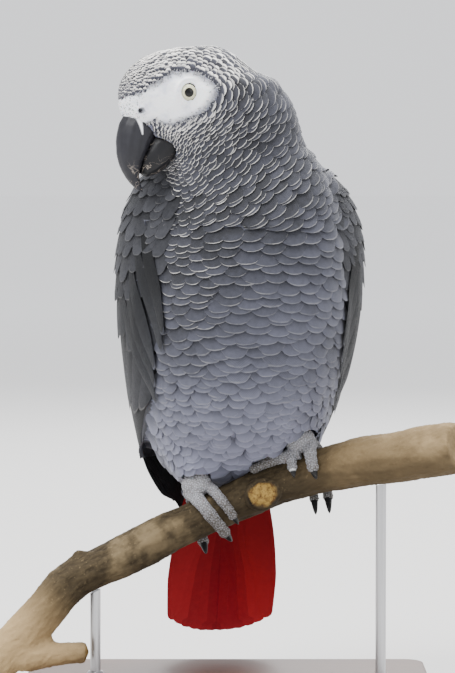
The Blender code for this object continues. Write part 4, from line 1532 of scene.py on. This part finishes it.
def make_wing(side, settings, covert_finish, flight_finish):
    """Long dark primaries, the secondaries over them, and the coverts in rows over both."""
    wing = WingForm(side)
    random = np.random.default_rng(settings.seed + 30 + (side == "left"))
    lean = 0.45 * MM
    coverts = Coat(settings.seed + 41)
    flight = Coat(settings.seed + 42)

    def row(count, start=0.02, stop=0.98, scatter=0.15):
        places = np.linspace(start, stop, count)
        return places + random.uniform(-scatter, scatter, count) * (stop - start) / count

    def spread(value, count, share=0.08):
        return value * random.uniform(1 - share, 1 + share, count)

    # Primaries: nine long vanes from the wrist, stacked towards the leading edge.
    count = 9
    place = np.linspace(0.02, 0.60, count)
    root = np.linspace(0.40, 0.56, count)
    reach = np.linspace(0.70, 1.0, count)
    rank = np.linspace(0, 1, count)
    wing_feathers(
        flight, wing, vane(8, 26), place, root, (reach - root) * wing.length,
        spread(7.2 * MM, count, 0.04), np.full(count, -1.9 * MM), -1.1 * MM + rank * 0.3 * MM,
        drift=0.12, lean=lean, tone=0.01 + 0.03 * rank, rim=0.08, fray=0.008,
        rounding=0.12, taper=0.5, thickness=0.25 * MM,
    )
    # Secondaries: broader and shorter, over the primaries' roots, to the back edge.
    count = 11
    place = np.linspace(0.25, 0.98, count)
    root = np.linspace(0.44, 0.30, count)
    reach = np.linspace(0.80, 0.86, count)
    rank = np.linspace(0, 1, count)
    wing_feathers(
        flight, wing, vane(8, 20), place, root, (reach - root) * wing.length,
        spread(7.6 * MM, count, 0.04), np.full(count, -1.7 * MM), -0.7 * MM + rank * 0.5 * MM,
        drift=-0.04, lean=lean, tone=0.02 + 0.05 * rank, rim=0.14, fray=0.008,
        rounding=0.1, taper=0.2, thickness=0.25 * MM,
    )
    # Greater and median coverts.
    for down, count, size, half, top, tone in (
        (0.34, 13, 58, 6.6, -0.5, 0.05),
        (0.27, 13, 38, 6.2, -0.25, 0.07),
        (0.215, 13, 26, 5.6, -0.05, 0.1),
    ):
        wing_feathers(
            coverts, wing, vane(8, 14), row(count), down + random.uniform(-0.01, 0.01, count),
            spread(size * MM, count), spread(half * MM, count), np.full(count, -2.0 * MM),
            np.full(count, top * MM), lean=lean * 0.7, tone=spread(tone, count, 0.12), rim=0.12,
            fray=0.02, rounding=0.2, thickness=0.2 * MM,
        )
    # Lesser coverts: soft rows up to the shoulder.
    for n, down in enumerate((0.172, 0.132, 0.094, 0.058, 0.024, -0.006)):
        count = 13 + (n % 2)
        wing_feathers(
            coverts, wing, vane(8, 9), row(count, -0.01, 1.01),
            down + random.uniform(-0.007, 0.007, count),
            spread((24 - 1.7 * n) * MM, count, 0.12), spread((5.8 - 0.25 * n) * MM, count, 0.1),
            np.full(count, -1.9 * MM), spread(0.15 * MM, count, 0.5),
            tone=spread(0.17, count, 0.15), rim=0.1, fray=0.01, rounding=0.22,
        )
    # Marginal coverts: a fringe along the leading edge by the shoulder.
    count = 14
    wing_feathers(
        coverts, wing, vane(6, 7), 0.02 + random.uniform(-0.01, 0.01, count),
        np.linspace(0.0, 0.2, count), np.linspace(13, 20, count) * MM,
        spread(4.4 * MM, count, 0.1), np.full(count, -1.7 * MM), np.full(count, 0.15 * MM),
        drift=0.05, tone=spread(0.17, count, 0.15), rim=0.12, fray=0.01,
        rounding=0.24, bend=16 * MM,
    )
    # Long inner feathers that lie over the flank in front of the wing's edge.
    count = 5
    rank = np.linspace(0, 1, count)
    shape = vane(8, 16)
    starts = wing.at(0.14 + 0.12 * rank, 0.15 + 0.15 * rank)[0]
    turn = -wing.sign * (0.18 + 0.02 * rank)
    spine, sides, normals = spines_on_form(starts, (55 + 4 * rank) * MM, shape.rows, turn, 0.02)
    level = (0.6 - 0.8 * rank)[:, None] * MM

    def height(across, along):
        arch = 0.5 * MM * (1 - across**2) * along
        return (-1.4 + 5.0 * along - 2.9 * along**2) * MM + level * along + arch

    flight.add(
        shape, spine, sides, normals, spread(3.7 * MM, count), height, laid=True, fray=0.01,
        rounding=0.1, taper=0.45, tone=0.02 + 0.05 * rank, rim=0.4, hem=0.6 * MM, thickness=0.2 * MM,
    )
    return [
        coverts.made(f"coverts_{side}", covert_finish, "grey_coat"),
        flight.made(f"flight_feathers_{side}", flight_finish, "flight_grey"),
    ]


# ---------------------------------------------------------------- tail


def make_tail(settings):
    """Twelve crimson tail feathers in a shallow vault, with paler red coverts at their root."""
    coat = Coat(settings.seed + 60)
    turn = np.array(BODY.to_3x3())
    root, tip = (np.array(v, float) for v in (TAIL_ROOT, TAIL_TIP))
    along = tip - root
    out = np.array((0, -along[2], along[1]))
    out /= np.linalg.norm(out)
    side_axis = np.array((1.0, 0, 0))

    def fan(shape, places, start, stop, level, half, looks, vault=6.0, curve=0.0):
        """Feathers whose roots and tips lie at the shares start and stop of the tail's length."""
        steps = np.linspace(0, 1, shape.rows + 1)[None, :]
        share = start[:, None] + (stop - start)[:, None] * steps
        narrow, broad = TAIL_HALF_WIDTHS
        wide = narrow + (broad - narrow) * np.clip(share * 1.6, 0, 1) ** 0.7
        wide = wide - half / MM * 0.55
        sideways = places[:, None] * wide
        rise = vault * (1 - places[:, None] ** 2) * (1 - 0.4 * share)
        rise = rise + level[:, None] + curve * steps**2
        points = root + along * share[..., None]
        points = points + side_axis * sideways[..., None] + out * rise[..., None]
        tilt = -2 * vault * places / 26.0
        normal = unit(out[None, :] - side_axis[None, :] * tilt[:, None])
        across = unit(side_axis[None, :] + out[None, :] * tilt[:, None])
        spine = transformed(BODY, points * MM)
        normals = np.repeat((normal @ turn.T)[:, None], shape.rows + 1, axis=1)
        sides = np.repeat((across @ turn.T)[:, None], shape.rows + 1, axis=1)

        def height(u, v):
            return 0.35 * MM * (1 - u * u) * v

        coat.add(shape, spine, sides, normals, np.full(len(places), half), height, **looks)

    count = 12
    places = np.linspace(-1, 1, count)
    feather = {"rounding": 0.06, "taper": 0.12, "fray": 0.003, "thickness": 0.3 * MM, "waist": 0.5}
    # Painted light and shade: the outer tail feathers are painted paler for their lit edges, the middle
    # ones darker for the shade there.
    look = {"tone": 0.12 + 0.3 * np.abs(places), "rim": 0.25, **feather}
    level = -1.6 + 1.3 * (1 - np.abs(places))
    stop = 0.985 - 0.10 * np.abs(places) ** 2.2
    fan(vane(8, 26), places, np.full(count, 0.0), stop, level, 8.6 * MM, look)

    def coverts(rows, reach, level, step, half, tones, **curves):
        """Rows of short feathers at the tail's root, each with its start, number and length."""
        for n, (start, width, size) in enumerate(rows):
            spots = np.linspace(-reach, reach, width) + coat.scatter(width, 0.06)
            starts = np.full(width, start)
            levels = np.full(width, level + step * n)
            looks = {"rounding": 0.17, "fray": 0.04, "tone": tones[0] + tones[1] * n, "rim": 0.3}
            fan(vane(6, 9), spots, starts, starts + size, levels, half * MM, looks, **curves)

    # Under-tail coverts, on the side that faces the perch, then upper-tail ones, on the back.
    under = ((-0.03, 9, 0.19), (-0.06, 8, 0.18), (-0.1, 8, 0.17), (-0.13, 7, 0.16))
    upper = ((0.1, 9, 0.3), (0.03, 8, 0.27), (-0.05, 8, 0.24), (-0.12, 7, 0.22))
    coverts(under, 0.95, -3.4, -0.5, 5.4, (0.2, 0.12), vault=5.0, curve=0.6)
    coverts(upper, 0.9, 0.6, 0.5, 5.0, (0.4, 0.1))
    red, light = settings.red, settings.red_light
    material = vane_finish(
        "Red feathers", red, light, light, roughness=0.6, rim_gain=0.4, sheen=0.0, gloss=0.06
    )
    return coat.made("tail_feathers", material, "red_tail", ["tail"])


# ---------------------------------------------------------------- feet


def foot_scales(settings):
    """Small flat scales over the skin of legs and toes."""
    random = np.random.default_rng(SCALE_SEED)
    bm = bmesh.new()
    bmesh.ops.create_cone(bm, segments=7, radius1=1, radius2=0.6, depth=1, cap_ends=True)
    bmesh.ops.triangulate(bm, faces=bm.faces)
    bm.verts.index_update()
    plate = to_array(v.co for v in bm.verts)
    faces = np.array([[v.index for v in face.verts] for face in bm.faces])
    bm.free()
    perch = tree_of("perch_branch")
    bumps = []
    gap = settings.scale_gap
    for side in SIDES:
        skin = foot_form(side)
        points, normals = coordinates(skin), vertex_normals(skin)
        cells = {}
        for i in random.permutation(len(points)):
            p = points[i]
            x, y, z = (p // gap).astype(int)
            near = [
                q for dx in (-1, 0, 1) for dy in (-1, 0, 1) for dz in (-1, 0, 1)
                for q in cells.get((x + dx, y + dy, z + dz), ())
            ]
            if near and (((points[near] - p) ** 2).sum(axis=1) < gap**2).any():
                continue
            cells.setdefault((x, y, z), []).append(i)
            if perch.find_nearest(p)[3] < 0.4 * MM:
                continue
            aim = np.array(Vector(normals[i]).to_track_quat("Z", "Y").to_matrix())
            size = random.uniform(0.5, 0.62) * gap
            stretch = (size, size * random.uniform(0.85, 1.15), size * random.uniform(0.2, 0.45))
            bumps.append(plate * stretch @ aim.T + p)
    mesh = bpy.data.meshes.new("foot_scales")
    all_faces = [faces + n * len(plate) for n in range(len(bumps))]
    mesh.from_pydata(np.vstack(bumps).tolist(), [], np.vstack(all_faces).tolist())
    set_attribute(mesh, "lot", np.repeat(random.uniform(0, 1, len(bumps)), len(plate)))
    set_attribute(mesh, "crest", np.tile(plate[:, 2] > 0, len(bumps)))
    set_attribute(mesh, "powder", foot_powder(np.vstack(bumps)))
    f = Finish("Foot scales", 0.62, specular_ior_level=0.35)
    here = f.coordinates()
    worn = f.noise(here, 160, 3.0)
    pale = f.attribute("crest") * 0.3 + worn * 0.6 - 0.4 + f.attribute("lot") * 0.3
    pale = pale + f.attribute("powder") * 0.6
    painted = f.mix(pale, settings.foot, settings.scale)
    material = f.feed(base_color=painted, normal=f.bump(f.noise(here, 1400, 2.0), 0.0001, 0.5))
    return piece("foot_scales", mesh, material)


def make_claws(settings):
    """Each claw as a smooth curved horn that leaves the end of its toe."""
    made = []
    for side, (_, toes) in FEET.items():
        for name, values in toes.items():
            points, count = toe_line(side, name)
            points = points[count + 2:]
            share = np.linspace(0, 1, len(points))
            radii = values[3] * 0.68 * MM * (1 - share) ** 0.6 + 0.22 * MM
            horn = joined([tube(points, radii, 12), ball(points[-1], (radii[-1],) * 3)])
            mesh = melted(horn, 0.35 * MM, 4)
            grown = coordinates(mesh)
            along = np.linalg.norm(grown - np.array(points[0]), axis=1)
            along /= np.linalg.norm(np.array(points[-1]) - np.array(points[0]))
            white = 0.7 if (side, name) == WHITE_CLAW else 0
            set_attribute(mesh, "flake", np.full(len(grown), 0.5))
            set_attribute(mesh, "cere", smoothstep(0.62, 0.5, along) * white)
            if not made:
                material = horn_finish("Claw horn", settings.claw, settings.worn, 0.3)
            made.append(
                piece(f"talon_{side}_{name}", mesh, material, [f"claw_{side}_{name}"])
            )
    return made


# ---------------------------------------------------------------- perch and stand


def perch_frame(points):
    """Places along, beside and over the perch's middle line, in mm, for points in metres."""
    line = np.array(PERCH_LINE, float)
    steps = np.linalg.norm(np.diff(line, axis=0), axis=1)
    starts = np.concatenate([[0], np.cumsum(steps)])
    best = np.full(len(points), 1e9)
    along = np.zeros(len(points))
    offset = np.zeros_like(points)
    p = points / MM
    for a, b, start, step in zip(line, line[1:], starts, steps):
        t = np.clip(((p - a) @ (b - a)) / step**2, 0, 1)
        away = p - a - t[:, None] * (b - a)
        gap = np.linalg.norm(away, axis=1)
        nearer = gap < best
        best = np.where(nearer, gap, best)
        along = np.where(nearer, start + t * step, along)
        offset[nearer] = away[nearer]
    return along, offset


def make_perch(settings):
    """The branch: bark in long ridges with cracks, nodes and a pale cut knot."""
    mesh = melted(mesh_of(node_bmesh("perch_branch")), settings.voxel, 3)
    points, normals = coordinates(mesh), vertex_normals(mesh)
    along, offset = perch_frame(points)
    knot_gap = np.linalg.norm(points / MM - np.array(KNOT_FACE), axis=1)
    facing = -normals[:, 1]
    knot = smoothstep(KNOT_RADIUS + 0.3, KNOT_RADIUS - 0.9, knot_gap) * smoothstep(0.55, 0.8, facing)
    x, _, z = points.T / MM
    ends = smoothstep(-113.5, -117.5, x) * smoothstep(0.3, 0.7, -normals[:, 0])
    ends = np.maximum(ends, smoothstep(112, 114, x) * smoothstep(0.5, 0.8, normals[:, 0]))
    stub = smoothstep(-72.5, -70.5, x) * smoothstep(40, 36, z)
    ends = np.maximum(ends, stub * smoothstep(0.5, 0.8, normals[:, 0]))
    wood = np.maximum(knot, ends)
    ridges = np.empty(len(points))
    lumps = np.empty(len(points))
    for i, (s, (ox, oy, oz)) in enumerate(zip(along.tolist(), offset.tolist())):
        place = Vector((s * 0.11, ox * 0.62, oy * 0.62 + oz * 0.62))
        twist = Vector((s * 0.03, oy * 0.2, oz * 0.2))
        ridges[i] = 1 - 2 * abs(noise.noise(place + twist * 2.0)) - 0.4 * noise.noise(place * 2.3)
        lumps[i] = noise.noise(Vector((s * 0.05 + 9, ox * 0.1, oz * 0.1)))
    shift = (ridges - 0.6) * 0.42 + lumps * 0.9
    rough = grain_at(points, 420)
    collar = np.exp(-(((knot_gap - KNOT_RADIUS - 1.0) / 1.5) ** 2)) * (1 + 0.5 * lumps)
    spoke = np.arctan2(z - KNOT_FACE[2], x - KNOT_FACE[0])
    rays = zip((spoke * 3.2).tolist(), (knot_gap * 0.25).tolist())
    spokes = np.array([noise.noise(Vector((*ray, 5))) for ray in rays])
    rings = rough * 1.1 - 0.4 + spokes * 0.9
    # A groove sunk under the knot's lower edge; the near-black colour given to it below is painted
    # shadow in the groove.
    under = smoothstep(0.7, 0.2, np.abs(knot_gap - KNOT_RADIUS - 0.5))
    under = under * smoothstep(0.1, -0.5, np.sin(spoke)) * smoothstep(0.3, 0.7, facing)
    shift = shift * (1 - wood) + collar * 1.2 * (1 - wood) + rings * knot - under * 1.2
    set_attribute(mesh, "under", under)
    set_attribute(mesh, "spokes", spokes)
    set_coordinates(mesh, points + normals * (shift * MM)[:, None])
    set_attribute(mesh, "wood", wood)
    set_attribute(mesh, "ridge", np.clip(ridges, 0, 1))
    set_attribute(mesh, "dry", 1.9 * smoothstep(70, 25, along) + 0.7 * smoothstep(185, 235, along))
    shade = smoothstep(0.45, -0.5, normals[:, 2]) * smoothstep(40, 120, along)
    set_attribute(mesh, "shade", shade)
    set_attribute(mesh, "rings", knot_gap)
    f = Finish("Bark", 0.85, specular_ior_level=0.2)
    here = f.coordinates()
    turned = f.coordinates((1, 1, 1), (0, math.radians(22), 0))
    streak = f.noise(f.node("Mapping", inputs={"Vector": turned, "Scale": (0.22, 1, 1)}), 420, 4.0)
    patch = f.noise(here, 38, 4.0, 0.6)
    fine = f.noise(here, 620, 4.0)
    share = f.attribute("ridge") * 0.55 + streak * 0.7 - 0.2
    colour = f.mix(share, settings.bark_dark, settings.bark)
    colour = f.mix(f.band(patch, 0.52, 0.7) * 0.55, colour, settings.bark_pale)
    colour = f.mix(f.band(fine, 0.6, 0.75) * 0.35, colour, settings.bark_pale)
    colour = f.mix(f.attribute("dry") * (0.3 + patch * 0.6), colour, linear(158, 134, 98))
    colour = f.mix(f.attribute("shade") * 0.6, colour, settings.bark_dark)
    rough = f.noise(here, 520, 4.0, 0.75)
    worn = f.band(rough, 0.38, 0.66) * 0.9 + f.band(f.attribute("rings"), 4.0, 7.5) * 0.45
    cut = f.mix(worn + f.attribute("spokes") * 0.9 - 0.1, settings.cut_wood, linear(84, 60, 34))
    cut = f.mix(f.band(rough, 0.36, 0.22) * 0.7, cut, linear(198, 178, 128))
    painted = f.mix(f.attribute("wood"), colour, cut)
    # Painted shadow: near black in the groove under the knot.
    painted = f.mix(f.attribute("under"), painted, linear(20, 15, 11))
    relief = streak * 0.8 + fine * 0.6
    material = f.feed(base_color=painted, normal=f.bump(relief, 0.0006, 0.8))
    return piece("bark_perch", mesh, material, ["perch_branch"])


# Section of the collar round a rod: how far from the rod, and height, in mm.
COLLAR = (
    (0.15, -0.2), (0.15, 5.2), (0.9, 5.2), (1.6, 4.6), (2.0, 3.0), (3.6, 2.6), (4.2, 2.0),
    (4.2, -0.2),
)


def make_stand(settings):
    """The base in dark wood, the rods in steel, and a turned collar where each rod stands."""
    f = Finish("Stand wood", 0.42, coat_weight=0.2, coat_roughness=0.25)
    grain = f.noise(f.coordinates((9, 120, 60)), 1.0, 4.0, 0.6, 1.4)
    fine = f.noise(f.coordinates((40, 900, 500)), 1.0, 3.0)
    base = settings.base
    painted = f.mix(grain * 0.9 + fine * 0.3 - 0.15, scaled(base, 0.5), scaled(base, 1.7))
    wood = f.feed(base_color=painted, normal=f.bump(fine, 0.00008, 0.5))
    s = Finish("Satin steel", 0.3, metallic=1.0)
    brushed = s.noise(s.coordinates((900, 900, 14)), 1.0, 3.0)
    rough = s.node("MapRange", {}, {"Value": brushed, "To Min": 0.24, "To Max": 0.42})
    shade = s.mix(brushed, settings.steel, scaled(settings.steel, 0.7))
    steel = s.feed(base_color=shade, roughness=rough, normal=s.bump(brushed, 0.00003, 0.4))
    for name, material in (("stand_base", wood), ("stand_rod_left", steel), ("stand_rod_right", steel)):
        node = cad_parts[name]
        node.data.materials.clear()
        node.data.materials.append(material)
    made = []
    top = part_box("stand_base")[1].z
    for side in SIDES:
        low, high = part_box(f"stand_rod_{side}")
        centre, radius = (low + high) / 2, (high - low).x / 2
        bm = bmesh.new()
        verts = [bm.verts.new((radius + out * MM, 0, z * MM)) for out, z in COLLAR]
        edges = [bm.edges.new(pair) for pair in zip(verts, verts[1:] + verts[:1])]
        bmesh.ops.spin(
            bm, geom=verts + edges, cent=(0, 0, 0), axis=(0, 0, 1), angle=2 * math.pi,
            steps=48, use_merge=True,
        )
        bmesh.ops.recalc_face_normals(bm, faces=bm.faces)
        bmesh.ops.translate(bm, vec=(centre.x, centre.y, top + 0.25 * MM), verts=bm.verts)
        made.append(piece(f"stand_collar_{side}", mesh_of(bm), steel, flat_angle=35))
    return made


# ---------------------------------------------------------------- stage

LIGHTS_AIM = 0.17  # height that the lights point at
VIEW_AIM = 0.18425  # height that the camera points at
VIEW_RISE = math.radians(3)
VIEW_DISTANCE = 1.6
VIEW_HEIGHT = 0.3365  # height of what the camera sees at that distance
SENSOR = 36  # in mm


def make_stage(settings):
    """A pale floor, soft lights and the camera."""
    bm = bmesh.new()
    bmesh.ops.create_circle(bm, cap_ends=True, segments=96, radius=30)
    bmesh.ops.translate(bm, vec=(0, 0, -0.0002), verts=bm.verts)
    floor = placed("floor", mesh_of(bm, "floor"))
    f = Finish("Floor", 0.9)
    place = f.coordinates()
    away = f.node("VectorMath", {"operation": "LENGTH"}, {0: place}, output="Value")
    near = f.mix(f.noise(place, 3.0, 2.0) * 0.1, settings.floor, scaled(settings.floor, 0.9))
    paint = f.mix(f.band(away, 0.4, 5.0), near, (0.97, 0.97, 0.97))
    floor.data.materials.append(f.feed(base_color=paint))
    world = bpy.data.worlds.new("Studio")
    world.use_nodes = True
    background = world.node_tree.nodes["Background"]
    background.inputs["Color"].default_value = (*settings.world, 1)
    background.inputs["Strength"].default_value = 1.6
    bpy.context.scene.world = world
    lights = (
        ("key", (-0.9, -1.1, 1.7), 1.0, settings.key_watts),
        ("fill", (1.3, -0.9, 0.8), 1.2, settings.fill_watts),
        ("top", (0.1, 0.1, 2.0), 1.2, settings.key_watts * 1.4),
        ("back", (0.3, 1.5, 1.2), 1.0, settings.key_watts * 0.5),
    )
    for name, place, size, watts in lights:
        lamp = bpy.data.lights.new(name, "AREA")
        lamp.energy = watts
        lamp.size = size
        obj = placed(name, lamp)
        obj.location = place
        away = Vector((0, 0, LIGHTS_AIM)) - Vector(place)
        obj.rotation_euler = away.to_track_quat("-Z", "Y").to_euler()
    camera = placed("camera", bpy.data.cameras.new("camera"))
    back = Vector((0, -math.cos(VIEW_RISE), math.sin(VIEW_RISE)))
    camera.location = Vector((0, 0, VIEW_AIM)) + back * VIEW_DISTANCE
    camera.rotation_euler = (-back).to_track_quat("-Z", "Y").to_euler()
    camera.data.sensor_width = SENSOR
    camera.data.lens = SENSOR * VIEW_DISTANCE / VIEW_HEIGHT
    bpy.context.scene.camera = camera


# ---------------------------------------------------------------- operators and panel


class PARROT_OT_stage(bpy.types.Operator):
    """Make the floor, the lights and the camera"""

    bl_idname = "parrot.stage"
    bl_label = "Stage"

    def execute(self, context):
        make_stage(context.scene.parrot_stage)
        return {"FINISHED"}


class PARROT_OT_skin(bpy.types.Operator):
    """Make the one skin under the coat"""

    bl_idname = "parrot.skin"
    bl_label = "Skin"

    def execute(self, context):
        make_skin(context.scene.parrot_skin)
        return {"FINISHED"}


class PARROT_OT_eyes(bpy.types.Operator):
    """Make both eyes"""

    bl_idname = "parrot.eyes"
    bl_label = "Eyes"

    def execute(self, context):
        for side in SIDES:
            make_eye(side, context.scene.parrot_horn)
        return {"FINISHED"}


class PARROT_OT_bill(bpy.types.Operator):
    """Make both halves of the bill"""

    bl_idname = "parrot.bill"
    bl_label = "Bill"

    def execute(self, context):
        make_bill(context.scene.parrot_horn)
        return {"FINISHED"}


class PARROT_OT_contour(bpy.types.Operator):
    """Make the feathers of head, neck and body"""

    bl_idname = "parrot.contour"
    bl_label = "Contour feathers"

    def execute(self, context):
        make_contour_feathers(context.scene.parrot_coat)
        return {"FINISHED"}


class PARROT_OT_wings(bpy.types.Operator):
    """Make the feathers of both wings"""

    bl_idname = "parrot.wings"
    bl_label = "Wings"

    def execute(self, context):
        settings = context.scene.parrot_coat
        finishes = wing_finishes(settings)
        for side in ("right", "left"):
            make_wing(side, settings, *finishes)
        return {"FINISHED"}


class PARROT_OT_tail(bpy.types.Operator):
    """Make the tail feathers"""

    bl_idname = "parrot.tail"
    bl_label = "Tail"

    def execute(self, context):
        make_tail(context.scene.parrot_coat)
        return {"FINISHED"}


class PARROT_OT_feet(bpy.types.Operator):
    """Make the scales and claws of the feet"""

    bl_idname = "parrot.feet"
    bl_label = "Feet"

    def execute(self, context):
        foot_scales(context.scene.parrot_skin)
        make_claws(context.scene.parrot_horn)
        return {"FINISHED"}


class PARROT_OT_perch(bpy.types.Operator):
    """Make the bark of the perch"""

    bl_idname = "parrot.perch"
    bl_label = "Perch"

    def execute(self, context):
        make_perch(context.scene.parrot_perch)
        return {"FINISHED"}


class PARROT_OT_stand(bpy.types.Operator):
    """Finish the display stand"""

    bl_idname = "parrot.stand"
    bl_label = "Stand"

    def execute(self, context):
        make_stand(context.scene.parrot_perch)
        return {"FINISHED"}


STEPS = (
    PARROT_OT_stage,
    PARROT_OT_skin,
    PARROT_OT_eyes,
    PARROT_OT_bill,
    PARROT_OT_contour,
    PARROT_OT_wings,
    PARROT_OT_tail,
    PARROT_OT_feet,
    PARROT_OT_perch,
    PARROT_OT_stand,
)
SETTINGS = {
    "parrot_skin": ParrotSkinSettings,
    "parrot_coat": ParrotCoatSettings,
    "parrot_horn": ParrotHornSettings,
    "parrot_perch": ParrotPerchSettings,
    "parrot_stage": ParrotStageSettings,
}


class PARROT_PT_panel(bpy.types.Panel):
    """The steps that dress the parrot, in order."""

    bl_label = "Parrot"
    bl_space_type = "VIEW_3D"
    bl_region_type = "UI"
    bl_category = "Parrot"

    def draw(self, context):
        for step in STEPS:
            self.layout.operator(step.bl_idname)


def register():
    for cls in (*SETTINGS.values(), *STEPS, PARROT_PT_panel):
        bpy.utils.register_class(cls)
    for name, cls in SETTINGS.items():
        setattr(bpy.types.Scene, name, PointerProperty(type=cls))


def unregister():
    for name in SETTINGS:
        delattr(bpy.types.Scene, name)
    for cls in reversed((*SETTINGS.values(), *STEPS, PARROT_PT_panel)):
        bpy.utils.unregister_class(cls)


def main():
    register()
    for step in STEPS:
        word = step.bl_idname.split(".")[1]
        getattr(bpy.ops.parrot, word)()


if __name__ == "__main__":
    main()
